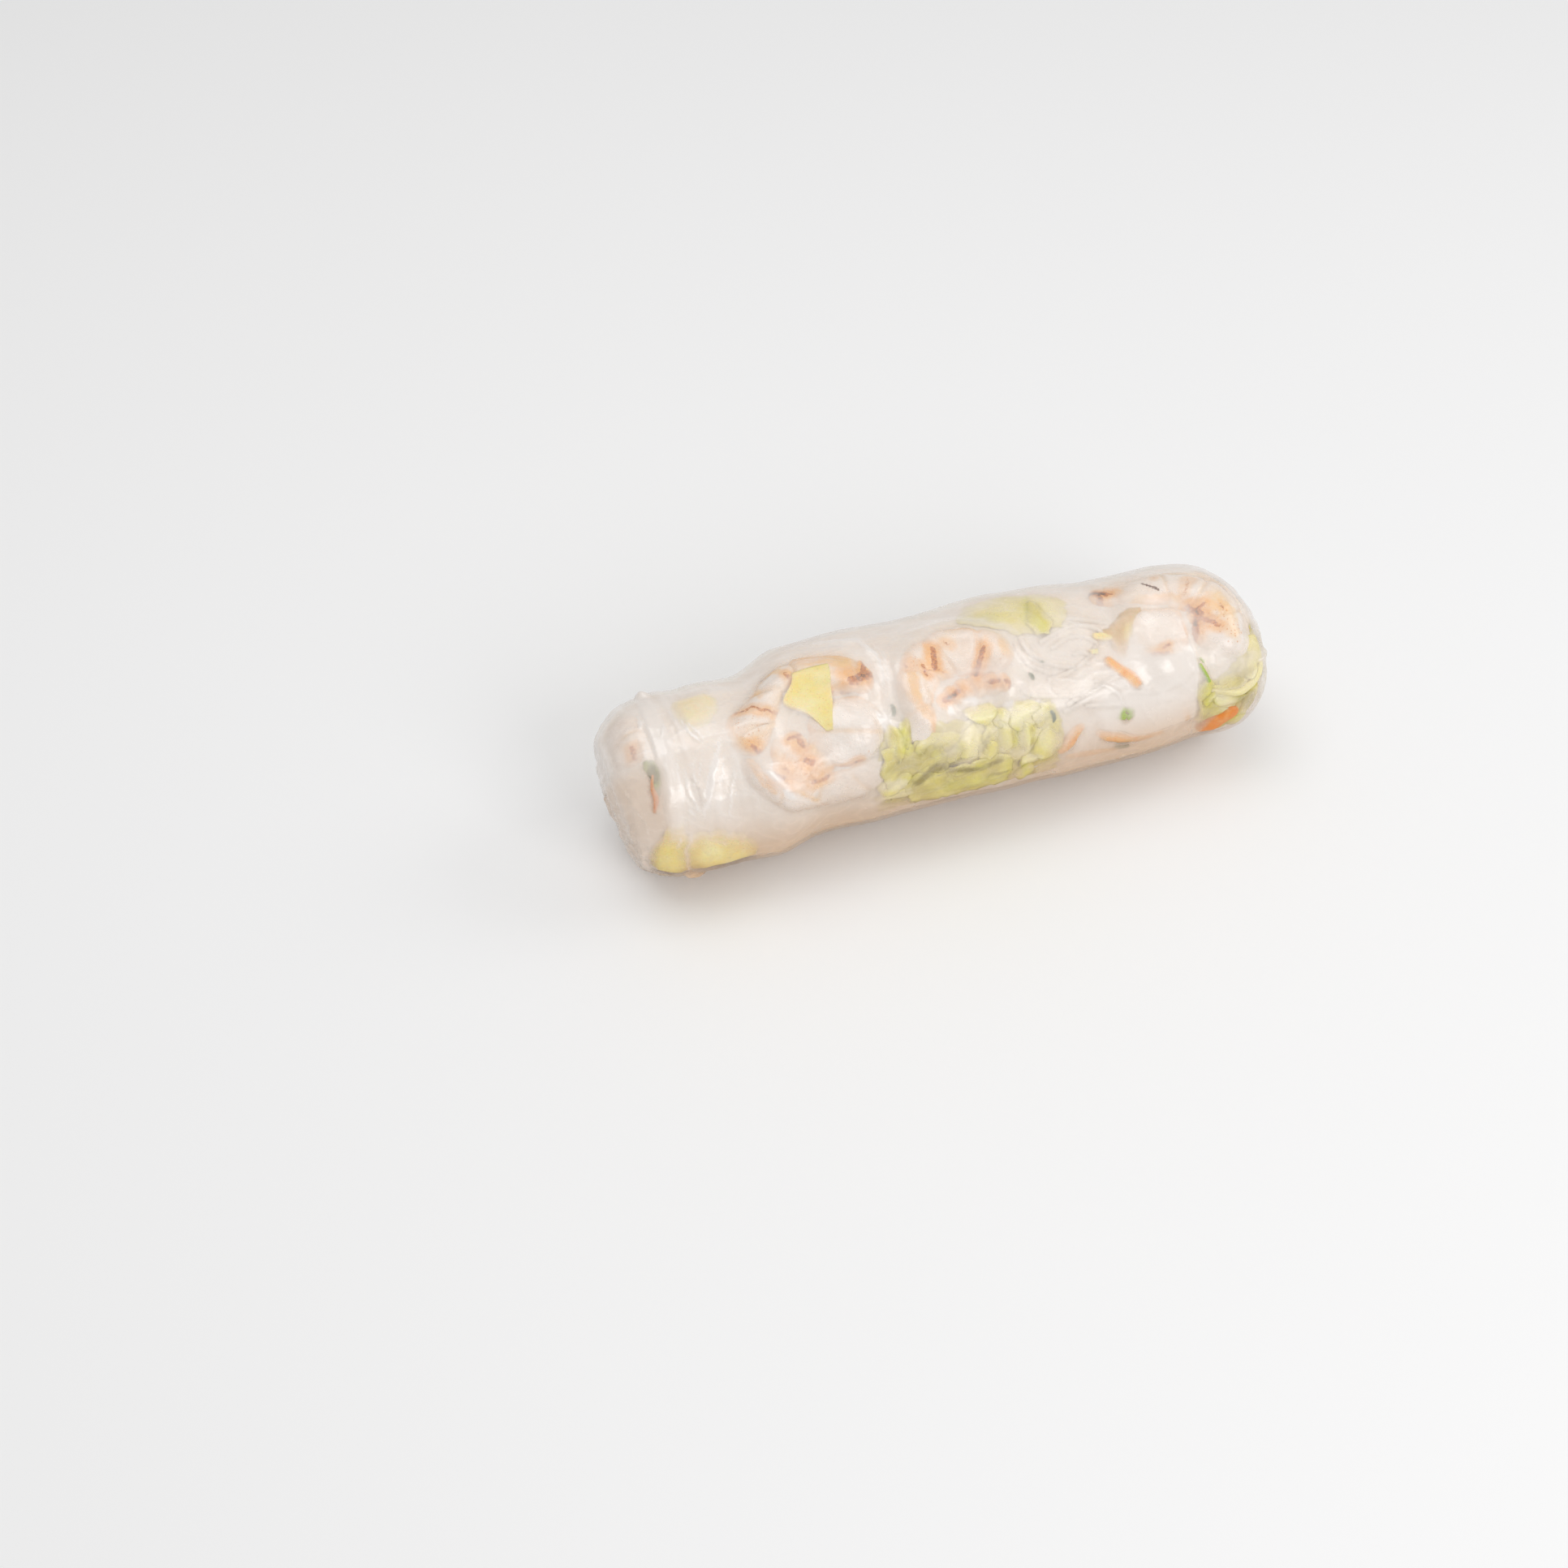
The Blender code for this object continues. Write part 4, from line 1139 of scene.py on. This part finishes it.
noodles = {
    "colour": tone(247, 238, 227),
    "shade": tone(240, 226, 210),
    "coreDepth": 2.1,
    "coreRows": 210,
    "coreColumns": 150,
    "strandRadius": 0.55,
    "strandSides": 2,
    "seed": 11,
    "shown": [
        [(-62.6, 80), (-63.6, 60), (-64.2, 40), (-64.6, 20)],
        [(-58.8, 48), (-57.4, 38), (-57.6, 26)],
        [(24, 30), (27, 34), (33, 39), (37, 41)],
        [(23, 26), (28, 30), (34, 33), (40, 34)],
        [(21, 48), (26, 50), (31, 56), (34, 64)],
        [(16.6, 76), (16.8, 68), (18.4, 60), (22, 52)],
        [(18.4, 80), (18.6, 72), (20.4, 64), (24, 56), (28, 52)],
        [(22, 74), (26, 78), (31, 80), (35, 76), (36, 70)],
        [(24, 68), (28, 72), (32, 70), (34, 64), (33, 58)],
        [(28.0, 60), (29.6, 61.6), (31.4, 58), (30.6, 52)],
        [(26, 88), (30, 88), (34, 84), (38, 80)],
        [(14.4, 46), (17, 41), (22, 37), (28, 34)],
        [(28, 27), (33, 24), (40, 20), (48, 17)],
        [(38, 29), (44, 25), (50, 27), (53, 33)],
        [(31, 42), (35, 32), (36.6, 24), (36.4, 10)],
        [(41, 38), (43.4, 28), (44.4, 16), (43.4, 4)],
    ],
}


def makeNoodleFinish():
    finish = Finish(
        "soaked_rice_noodle", Subsurface_Weight=0.3, Subsurface_Scale=0.004, Subsurface_Radius=(1.0, 0.8, 0.6), IOR=1.4
    )
    fine = finish.grain(1.5, 2.0)
    coarse = finish.grain(6.0, 2.0)
    colour = finish.blend(finish.between(coarse, 0.35, 0.65), noodles["colour"], noodles["shade"])
    return finish.wire(Base_Color=colour, Roughness=0.28 + fine * 0.2, Normal=finish.bump(fine, 0.2, 0.5))


noodleFinish = makeNoodleFinish()


def makeNoodleCore():
    shape = bmesh.new()
    bmesh.ops.create_uvsphere(
        shape, u_segments=noodles["coreColumns"], v_segments=noodles["coreRows"], radius=1.0
    )
    ball = vertexTable(shape)
    along = (np.arccos(np.clip(-ball[:, 2], -1, 1)) / math.pi * 2 - 1) * lastAlong
    degrees = np.degrees(np.arctan2(ball[:, 1], ball[:, 0]))
    points = onRoll(along, degrees, noodles["coreDepth"])
    wander = unevenness(points, 9.0, 4.0)
    arc = degrees * arcPerDegree
    phase = np.sin(np.radians(degrees)) * 3 + wander * 9
    strands = np.abs(np.sin((arc * 0.35 + along * 0.9 + phase) * 0.9)) * 0.6
    crossed = np.abs(np.sin((along * 0.35 - arc * 0.8 + phase * 1.3) * 1.0)) * 0.5
    pick = smoothStep(-0.1, 0.1, unevenness(points, 7.0, 8.0))
    round = np.where(degrees < rollForm["wrapBelow"], degrees + 360, degrees)
    full = smoothStep(106, 120, round) * (1 - smoothStep(156, 172, round))
    full = np.maximum(full, smoothStep(-24, -36, round) * (1 - smoothStep(-60, -75, round)))
    full = np.maximum(full, smoothStep(67, 72, np.abs(along)) * np.where(along < 0, 1.0, smoothStep(48, 62, round)))
    depth = noodles["coreDepth"] - (strands * pick + crossed * (1 - pick)) * 0.4 * (1 - 0.6 * full)
    depth = depth + 0.3 * wander * (1 - 0.5 * full) - 1.15 * full
    return finishPiece("noodle_core", shape, onRoll(along, degrees, depth), {}, noodleFinish)


def addStrand(curve, rows):
    path, length = smoothPath(rows, int(max(6, 1)))
    count = int(max(6, length / 1.3))
    path, length = smoothPath(rows, count)
    points = onRoll(path[:, 0], path[:, 1] / arcPerDegree, path[:, 2])
    spline = curve.splines.new("POLY")
    spline.points.add(count - 1)
    for knot, point in zip(spline.points, points):
        knot.co = (*(point * mm), 1.0)


def makeNoodleStrands():
    chance = np.random.default_rng(noodles["seed"])
    curve = bpy.data.curves.new("noodle_strands", "CURVE")
    curve.dimensions = "3D"
    curve.bevel_depth = noodles["strandRadius"] * mm
    curve.bevel_resolution = noodles["strandSides"]
    curve.use_fill_caps = True
    for path in noodles["shown"]:
        deep = chance.uniform(1.3, 1.65)
        addStrand(curve, [(x, degrees, deep + chance.uniform(-0.1, 0.4)) for x, degrees in path])
        for copy in range(2):
            shiftX, shiftTurn = chance.uniform(-2.0, 2.0), chance.uniform(-6, 6)
            addStrand(curve, [(x + shiftX + chance.uniform(-0.6, 0.6), degrees + shiftTurn + chance.uniform(-2, 2), deep + 1.0 + chance.uniform(0, 0.7)) for x, degrees in path])
    for number in range(70):  # the rest wander along the roll, mostly out of sight
        x, degrees = chance.uniform(-72, 60), chance.uniform(95, 325)
        heading = chance.normal(0, 22)
        rows = []
        for step in range(int(chance.integers(5, 12))):
            rows.append((x, degrees, chance.uniform(1.6, 3.2)))
            x += 3.4 * math.cos(math.radians(heading))
            degrees += 3.4 * math.sin(math.radians(heading)) / arcPerDegree
            heading += chance.normal(0, 16)
        rows = [row for row in rows if abs(row[0]) < 80]
        if len(rows) > 3:
            addStrand(curve, rows)
    for side in (-1, 1):  # strands folded over at the ends
        for number in range(14):
            degrees = chance.uniform(0, 360)
            sweep = chance.uniform(25, 60)
            base = chance.uniform(64, 80)
            rows = [(side * (base + chance.uniform(-2, 2)), degrees + sweep * k / 4, chance.uniform(1.6, 2.8)) for k in range(5)]
            addStrand(curve, rows)
    holder = bpy.data.objects.new("strandCurve", curve)
    scene.collection.objects.link(holder)
    solid = holder.evaluated_get(bpy.context.evaluated_depsgraph_get())
    mesh = bpy.data.meshes.new_from_object(solid)
    mesh.name = "noodle_strands"
    bpy.data.objects.remove(holder)
    return showPiece("noodle_strands", mesh, noodleFinish)


contents.append(makeNoodleCore())
contents.append(makeNoodleStrands())
print("noodles made")

# ---- the paper

paper = {
    "white": tone(246, 238, 231),
    # painted shade with warm bounce light, laid on the roll's lower side and lower left end
    "warm": tone(212, 168, 118),
    # whiter paper colour, for milky folds and for painted glints and highlights
    "hazeAndGlint": tone(251, 245, 240),
    "columns": 240,
    "rows": 412,
    "finest": 35.0,  # degrees, where the columns stand closest
    "closer": 0.45,
    "milk": [(0.0, 0.06), (0.35, 0.12), (0.7, 0.28), (1.1, 0.46), (1.7, 0.64), (2.4, 0.76), (3.5, 0.84), (8.0, 0.9)],
    "sag": 0.12,
    "crinkle": 0.07,
    "fineCrinkle": 0.035,
    "leftPleats": 0.16,
    "endPleats": 0.22,
    "frill": 0.55,
}
# Folds and whiter places, the whiter ones partly milky paper and partly painted glints and highlights: path, half width
# in mm, height in mm or how much whiter
paperFolds = [
    ([(-31, 122), (-22, 118), (-15.0, 108), (-13.2, 92), (-13.8, 76), (-15, 64)], 1.0, 0.45),
    ([(-12.0, 106), (-11.6, 92), (-12.8, 76), (-14.6, 62)], 0.7, 0.24),
    ([(-15.4, 50), (-12.8, 55)], 0.6, 0.25),
    ([(-15.4, 50), (-12.6, 45)], 0.6, 0.25),
    ([(-15.4, 50), (-18.2, 58)], 0.6, 0.25),
    ([(-15.4, 50), (-19.0, 46)], 0.6, 0.22),
    ([(-15.4, 50), (-16.6, 40)], 0.6, 0.22),
    ([(-46.4, 47), (-43.4, 38), (-40.6, 29), (-36.8, 18), (-31.6, 5)], 1.2, 0.3),
    ([(-65.3, 108), (-66.0, 92)], 0.5, 0.25),
    ([(-62.0, 84), (-63.0, 62), (-64.2, 40), (-65.2, 18)], 1.0, 0.25),
    ([(-60.8, 92), (-62.6, 78)], 0.5, 0.2),
    ([(-75, 84), (-73.6, 70), (-71.6, 60), (-69.4, 54)], 0.7, 0.25),
    ([(-73.4, 52), (-71.8, 42), (-70.8, 30), (-69.4, 14)], 0.5, 0.22),
    ([(-57.2, 90), (-56.6, 76), (-54.6, 66)], 0.6, 0.2),
    ([(-50.2, 68), (-51.8, 60), (-54.6, 46), (-56.0, 33), (-58.6, 20)], 0.6, 0.2),
    ([(-50.0, 46), (-51.6, 28), (-53.4, 12)], 0.5, 0.18),
    ([(-60.0, 50), (-60.6, 38), (-59.4, 28)], 0.5, 0.2),
    ([(-63.4, 136), (-61.6, 132), (-60.4, 126)], 1.3, 1.3),
    ([(-63.0, -24), (-61.4, -29), (-59.4, -32), (-57.6, -36)], 1.0, 1.0),
    ([(-66.4, -6), (-67.6, -18), (-68.8, -34)], 0.7, 0.7),
    ([(-69.4, 4), (-70.8, -10), (-71.4, -26)], 0.7, 0.7),
    ([(-72.6, 20), (-73.2, 4), (-73.6, -12)], 0.7, 0.6),
    ([(67.4, 58), (69.4, 50), (71.2, 44)], 0.9, 0.6),
    ([(70.6, 36), (72.4, 28), (73.0, 18)], 0.8, 0.5),
    ([(68.4, 76), (70.4, 68)], 0.9, 0.4),
    ([(66.0, 66), (66.8, 54), (68.0, 46)], 1.3, -0.5),
    ([(25.2, 118), (23.2, 106), (21.4, 95)], 0.6, -0.25),
    ([(53.8, -4), (53.2, -26)], 0.5, 0.2),
    ([(22, 74), (28, 80), (35, 78)], 0.6, 0.14),
    ([(16.2, 78), (16.8, 66), (20, 56)], 0.6, 0.14),
    ([(26, 32), (31, 38), (37, 42)], 0.5, 0.14),
    ([(40, 24), (42, 12), (44, 2)], 0.6, 0.12),
    ([(31, 41), (35, 31), (37, 22)], 0.5, 0.12),
]
# Where one turn of the paper lies over another: corners, how soft each edge from that corner on is, height and how much whiter
paperLayers = [
    ([(54.2, 78), (54.6, 40), (53.8, -4), (48, -3), (43, -5), (39, -3), (36, 3), (31.4, 8.4), (29.6, 12), (27, 30), (34, 60), (46, 82)],
     [0.8, 0.8, 0.7, 0.6, 0.6, 0.6, 0.6, 0.8, 3, 6, 6, 4], 0.3, 0.26),
    ([(-60.2, 132), (-60.4, 80), (-60.8, 40), (-62.0, 4), (-66.0, 6), (-66.0, 40), (-65.6, 90), (-64.0, 134)],
     [2.4, 2.4, 2.4, 1.6, 1.2, 1.2, 1.2, 1.2], 0.3, 0.28),
    ([(-13.6, 118), (-12.6, 96), (-13.4, 70), (-17, 60), (-20, 84), (-22, 112)],
     [0.9, 0.9, 1.2, 2.4, 2.4, 2.4], 0.2, 0.08),
]
# Whiter places: milky folds and bands, and painted glints and highlights on the wet paper.
paperHazeAndGlints = [
    ([(-61.4, 10), (-62.0, -6), (-61.6, -22)], 0.9, 0.5),
    ([(-63.4, 12), (-64.0, 0)], 0.5, 0.35),
    ([(-57.6, 2), (-52.4, -5)], 0.8, 0.3),
    ([(-62.4, 84), (-62.8, 60), (-63.8, 36), (-64.8, 16)], 2.2, 0.2),
    ([(-65.3, 108), (-66.0, 92)], 0.55, 0.6),
    ([(-61.0, 92), (-62.6, 76)], 0.5, 0.35),
    ([(-63.2, 66), (-63.6, 48), (-64.4, 30)], 0.5, 0.4),
    ([(-62.0, 60), (-62.6, 46)], 0.45, 0.35),
    ([(-57.4, 91), (-57.0, 78), (-54.6, 66)], 0.5, 0.6),
    ([(-56.2, 86), (-55.0, 76), (-54.2, 68)], 0.4, 0.5),
    ([(-50.2, 70), (-51.6, 60), (-54.2, 48), (-55.4, 38)], 0.5, 0.6),
    ([(-52.0, 64), (-53.6, 54), (-56.0, 42), (-57.4, 30)], 0.35, 0.5),
    ([(-50.6, 58), (-52.4, 48), (-53.6, 38), (-54.0, 24)], 0.4, 0.45),
    ([(-54.4, 50), (-55.2, 42), (-56.6, 30), (-58.6, 18)], 0.9, 0.4),
    ([(-49.8, 48), (-51.4, 30), (-53.2, 14)], 0.45, 0.5),
    ([(-59.6, 54), (-60.4, 44), (-59.4, 30), (-58.2, 18)], 0.4, 0.45),
    ([(-60.6, 66), (-61.6, 50), (-62.0, 34)], 0.35, 0.5),
    ([(-63.4, 72), (-64.0, 58), (-64.6, 44)], 0.35, 0.5),
    ([(-57.0, 60), (-58.4, 48), (-58.8, 38)], 0.35, 0.4),
    ([(-55.4, 58), (-57.2, 46)], 0.3, 0.35),
    ([(-61.2, 27), (-60.0, 20)], 0.7, 0.4),
    ([(-73.2, 52), (-71.8, 42)], 0.5, 0.45),
    ([(-69.6, 18), (-69.0, 12)], 0.5, 0.4),
    ([(-71.0, 30), (-70.6, 24)], 0.5, 0.35),
    ([(-63.4, 136), (-61.6, 132), (-60.4, 126)], 1.4, 0.3),
    ([(-63.0, -24), (-61.4, -29), (-59.4, -32), (-57.6, -36)], 1.3, 0.5),
    ([(-31, 122), (-22, 118), (-15.0, 108), (-13.2, 92), (-13.8, 76), (-15, 64)], 0.8, 0.45),
    ([(-12.0, 106), (-11.6, 92), (-12.8, 76), (-14.6, 62)], 0.6, 0.2),
    ([(-19, 58), (-16, 50), (-16.6, 42)], 2.6, 0.3),
    ([(-17.4, 56), (-16.4, 46)], 0.9, 0.4),
    ([(-41.2, 29), (-38.2, 21)], 1.1, 0.85),
    ([(-46.6, 47), (-43.6, 38), (-40.8, 29), (-36.8, 18), (-31.6, 5)], 1.7, 0.45),
    ([(-2.6, 47), (-0.6, 43)], 1.7, 0.6),
    ([(0.6, 50), (3.4, 48), (4, 43)], 1.6, 0.3),
    ([(9, 40), (12, 38)], 3.0, 0.35),
    ([(13, 46), (16, 42)], 2.4, 0.2),
    ([(36, 20), (50, 15)], 8.0, 0.16),
    ([(29.8, 12), (31.6, 8.6), (36, 3), (39, -3), (43, -5), (52, -3)], 0.5, 0.25),
    ([(53.6, 46), (54.2, 30)], 0.6, 0.2),
    ([(24, 62), (32, 70)], 5.0, 0.12),
    ([(31, 41), (35, 31), (37, 22)], 0.45, 0.25),
    ([(40, 24), (42, 12), (44, 2)], 0.45, 0.2),
    ([(27, 33.4), (31, 37.6)], 0.4, 0.3),
    ([(68, 26), (71, 24)], 0.6, 0.3),
]
clearPlaces = [
    ([(36.8, 18), (37.2, 12.5)], 1.6, 0.3),
    ([(54.9, 37), (57.4, 21)], 0.7, 0.3),
    ([(-67.8, 54), (-67.9, 44), (-68.0, 31)], 0.8, 0.25),
    ([(34.8, 53), (40.6, 32)], 1.5, 0.2),
    ([(61.6, -4), (60.0, -14), (58.8, -26)], 2.6, 0.25),
    ([(58.6, 75), (57.2, 56)], 1.4, 0.1),
    ([(-19.4, 76), (-15.8, 84)], 2.0, 0.08),
    ([(25, 15), (23.4, 3)], 1.2, 0.12),
    ([(33.4, 0), (37.8, -8)], 1.2, 0.12),
    ([(58, 12), (67, 4), (65, -16)], 9.0, 0.2),
    ([(-15, 28), (-8, 6), (2, -2), (12, -8)], 7.5, 0.16),
    ([(6, 32), (12, 22), (18, 8)], 6.0, 0.1),
    ([(-66, -4), (-65.5, -24)], 4.0, 0.18),
    ([(-57, -12), (-53, -20)], 5.0, 0.16),
    ([(-30, 80), (-28, 60)], 4.5, 0.06),
    ([(22.5, 90), (23.0, 82)], 3.5, 0.08),
]


def gatherContents():  # one search tree of all that lies inside
    corners, faces = [], []
    for piece in contents:
        start = len(corners)
        corners.extend(vertex.co.copy() for vertex in piece.data.vertices)
        faces.extend([start + k for k in polygon.vertices] for polygon in piece.data.polygons)
    return BVHTree.FromPolygons(corners, faces)


def ridged(points, size, shift, sharp=3.0):
    return np.clip(1 - np.abs(unevenness(points, size, shift)) * 2.4, 0, 1) ** sharp


def layerMask(along, arc, corners, softness):
    ends = np.array([(x, degrees * arcPerDegree) for x, degrees in corners])
    inside = np.zeros(len(along), bool)
    mask = np.ones(len(along))
    for (ax, ay), (bx, by), soft in zip(ends, np.roll(ends, -1, axis=0), softness):
        crosses = (ay > arc) != (by > arc)
        inside ^= crosses & (along < (bx - ax) * (arc - ay) / ((by - ay) or 1e-9) + ax)
        dx, dy = bx - ax, by - ay
        t = np.clip(((along - ax) * dx + (arc - ay) * dy) / (dx * dx + dy * dy), 0, 1)
        mask = np.minimum(mask, smoothStep(0, soft, np.hypot(along - ax - t * dx, arc - ay - t * dy)))
    return mask * inside


def makePaperFinish():
    finish = Finish("moist_rice_paper", IOR=1.5, Coat_Roughness=0.25, Specular_IOR_Level=0.7)
    mottle = finish.grain(3.2, 3.0, 0.6)
    fine = finish.grain(0.7, 2.0, 0.6)
    cloud = finish.grain(9.0, 2.0)
    milk = finish.paint("milk")
    milk = milk + ((mottle - 0.5) * 0.35 + (fine - 0.5) * 0.3 + (cloud - 0.5) * 0.4) * (1.05 - milk) * 0.6
    # whiter where the paper is milky and where glints and highlights are painted
    colour = finish.blend(finish.between(finish.paint("whiten"), 0.0, 0.6), paper["white"], paper["hazeAndGlint"])
    # painted shade and warm bounce light on the lower side
    colour = finish.blend(finish.paint("warmth"), colour, paper["warm"])
    relief = finish.bump(fine + mottle * 0.6, 0.08, 0.4)
    return finish.wire(
        Base_Color=colour,
        Roughness=0.16 + mottle * 0.16,
        Coat_Weight=0.5 + cloud * 0.5,
        Alpha=milk.within(0.04, 0.95),
        Normal=relief,
    )


def makePaper(material):
    inside = gatherContents()
    shape = bmesh.new()
    bmesh.ops.create_uvsphere(shape, u_segments=paper["columns"], v_segments=paper["rows"], radius=1.0)
    ball = vertexTable(shape)
    row = np.arccos(np.clip(-ball[:, 2], -1, 1)) / math.pi * paper["rows"]
    row = np.round(row).astype(int)
    degrees = np.degrees(np.arctan2(ball[:, 1], ball[:, 0]))
    column = np.round((degrees % 360) / 360 * paper["columns"]).astype(int) % paper["columns"]
    along = (row / paper["rows"] * 2 - 1) * lastAlong
    turn = column / paper["columns"] * 2 * math.pi
    degrees = paper["finest"] + np.degrees(turn - paper["closer"] * np.sin(turn))
    degrees = (degrees - rollForm["wrapBelow"]) % 360 + rollForm["wrapBelow"]
    arc = degrees * arcPerDegree
    skin = onRoll(along, degrees, 0.0)
    inward = onRoll(along, degrees, 1.0) - skin
    gap = np.zeros(len(skin))
    for index, (point, way) in enumerate(zip(skin, inward)):
        hit = inside.ray_cast(Vector(point) * mm, Vector(way))
        gap[index] = hit[3] / mm if hit[0] else 6.0
    gap = np.minimum(gap, 8.0)
    table = np.zeros((paper["rows"] + 1, paper["columns"]))
    table[row, column] = gap
    table[0], table[-1] = gap[row == 0].mean(), gap[row == paper["rows"]].mean()
    gap = softened(table, 1.1, 1.5)[row, column]
    wide = softened(table, 3.4, 4.8)[row, column]
    print("gaps under the paper", round(float(gap.min()), 2), round(float(gap.mean()), 2))
    under = smoothStep(15, 45, np.abs((degrees - 270 + 180) % 360 - 180))
    atEnd = smoothStep(60, 72, np.abs(along))
    onLeft = 1 - smoothStep(-50, -44, along)
    height = -paper["sag"] * np.clip(wide - 0.8, 0, 4)
    overTop = smoothStep(102, 116, degrees) * (1 - smoothStep(150, 170, degrees))
    pastEnd = smoothStep(66, 72, np.abs(along)) * np.where(along < 0, 1.0, smoothStep(46, 62, degrees))
    calm = 1 - 0.7 * np.maximum(overTop, pastEnd)  # the paper is pulled smooth there
    height = height + paper["crinkle"] * (ridged(skin * (0.7, 1, 1), 3.4, 3.0) - 0.3) * (0.4 + 0.6 * calm)
    height = height + paper["fineCrinkle"] * (ridged(skin, 1.5, 7.0, 2.0) - 0.3) * calm
    streaks = unevenness(np.stack([along / 1.7, arc / 16, 0 * arc], axis=1), 1.0, 2.0)
    height = height + paper["leftPleats"] * streaks * onLeft
    pleats = unevenness(np.stack([np.cos(np.radians(degrees)) * 5, np.sin(np.radians(degrees)) * 5, along / 14], axis=1), 1.0, 3.0)
    height = height + paper["endPleats"] * pleats * atEnd
    atCorner = smoothStep(-60, -67, along) * smoothStep(14, -10, degrees) * smoothStep(-62, -46, degrees)
    height = height + paper["frill"] * (ridged(skin * (1.4, 0.6, 0.6), 2.4, 9.0, 1.5) - 0.25) * atCorner
    wander = np.stack([along, arc, 0 * arc], axis=1)
    strayed = along + 0.9 * unevenness(wander, 5.0, 12.0) + 0.4 * unevenness(wander, 1.8, 15.0)
    climbed = arc + 0.9 * unevenness(wander, 5.0, 18.0) + 0.4 * unevenness(wander, 1.8, 21.0)
    for path, width, tall in paperFolds:
        height = height + tall * strokeMask(strayed, climbed, path, width * 1.5, 0.0, True)
    doubled = np.zeros(len(along))
    for corners, softness, tall, white in paperLayers:
        mask = layerMask(along + 0.25 * (strayed - along), arc + 0.35 * (climbed - arc), corners, softness)
        height, doubled = height + tall * mask, doubled + white * mask
    points = onRoll(along, degrees, -height * under)
    points[:, 2] = np.maximum(points[:, 2], 0.02)
    milk = np.interp(gap, *zip(*paper["milk"]))
    broken = unevenness(wander, 1.2, 25.0)
    # whiter, more opaque strokes: milky folds and bands, and painted glints and highlights
    whiten = sum(strong * strokeMask(strayed, climbed, path, width * (1 + 0.4 * broken), 0.0, True) for path, width, strong in paperHazeAndGlints)
    clearer = paintStrokes(strayed, climbed, clearPlaces)
    # crinkle ridges and the left end's streaks are painted whiter and more opaque, partly milky folds and partly
    # painted highlights
    creaseWhiteAndGlints = ridged(skin * (0.7, 1, 1), 3.4, 3.0) * 0.10 + np.clip(streaks, 0, 1) * onLeft * 0.18
    turned = np.maximum(0.3 * overTop, 0.3 * pastEnd)
    milk = milk + whiten + creaseWhiteAndGlints - clearer + 0.06 * onLeft + doubled + turned
    # Painted shade and warm bounce light: the lower front and underside, and the lower left end, are painted darker and
    # warmer.
    low = smoothStep(30, -30, degrees) * smoothStep(-128, -75, degrees) * (1 - 0.6 * smoothStep(60, 70, np.abs(along)))
    low = np.maximum(low, 0.4 * smoothStep(-60, -68, along) * smoothStep(75, 50, degrees) * smoothStep(-100, -30, degrees))
    paints = {
        "milk": np.clip(milk, 0.05, 0.95),
        "whiten": np.clip(whiten + creaseWhiteAndGlints, 0, 1),
        "warmth": np.clip(0.05 + 0.85 * low, 0, 1),
    }
    piece = finishPiece("paper_outer", shape, points, paints, material)
    piece.visible_shadow = False  # wet paper passes nearly all the light that falls on it
    return piece


paperFinish = makePaperFinish()
makePaper(paperFinish)
print("paper made")

# ---- floor, light and camera

studio = {
    "floor": tone(250, 250, 250),
    "air": 0.54,
    "lamps": [
        # place, aim, size, power, colour
        ((-0.15, 0.15, 0.75), (0, 0, 0), 0.5, 1.4, (1.0, 0.995, 0.99)),
        ((0.20, -0.62, 0.45), (0, 0, 0.02), 0.4, 1.5, (1.0, 1.0, 1.0)),
        ((0.60, -0.05, 0.45), (0, 0, 0.02), 0.35, 0.7, (1.0, 1.0, 1.0)),
    ],
    "aim": (-31.68, 6.25, 0.0),
    "azimuth": -19.48,
    "elevation": 49.22,
    "distance": 0.57205,
    "lens": 58.924,
}


def makeStudio():
    shape = bmesh.new()
    bmesh.ops.create_grid(shape, x_segments=2, y_segments=2, size=3.0)
    bmesh.ops.translate(shape, verts=shape.verts[:], vec=(0, 0, -0.0001))
    mesh = bpy.data.meshes.new("floor")
    shape.to_mesh(mesh)
    shape.free()
    finish = Finish("pale_floor", Roughness=0.9)
    cloud = finish.grain(400.0)
    mesh.materials.append(finish.wire(Base_Color=finish.blend(cloud * 0.1, studio["floor"], tone(246, 246, 248))))
    floor = bpy.data.objects.new("floor", mesh)
    scene.collection.objects.link(floor)
    world = bpy.data.worlds.new("studio_air")
    world.use_nodes = True
    air = world.node_tree.nodes["Background"]
    air.inputs["Color"].default_value = (1.0, 1.0, 1.0, 1.0)
    air.inputs["Strength"].default_value = studio["air"]
    scene.world = world
    for number, (place, aim, size, power, colour) in enumerate(studio["lamps"]):
        lamp = bpy.data.lights.new(f"lamp{number}", "AREA")
        lamp.energy, lamp.size, lamp.color = power, size, colour
        holder = bpy.data.objects.new(f"lamp{number}", lamp)
        scene.collection.objects.link(holder)
        holder.location = place
        holder.rotation_euler = (Vector(aim) - Vector(place)).to_track_quat("-Z", "Y").to_euler()


def makeCamera():
    around, up = math.radians(studio["azimuth"]), math.radians(studio["elevation"])
    back = Vector((math.sin(around) * math.cos(up), -math.cos(around) * math.cos(up), math.sin(up)))
    camera = bpy.data.cameras.new("camera")
    camera.lens, camera.sensor_width = studio["lens"], 36
    holder = bpy.data.objects.new("camera", camera)
    scene.collection.objects.link(holder)
    holder.location = Vector(studio["aim"]) * mm + back * studio["distance"]
    holder.rotation_euler = (-back).to_track_quat("-Z", "Y").to_euler()
    scene.camera = holder


makeStudio()
makeCamera()
scene.view_settings.view_transform = "Standard"
print("studio ready")
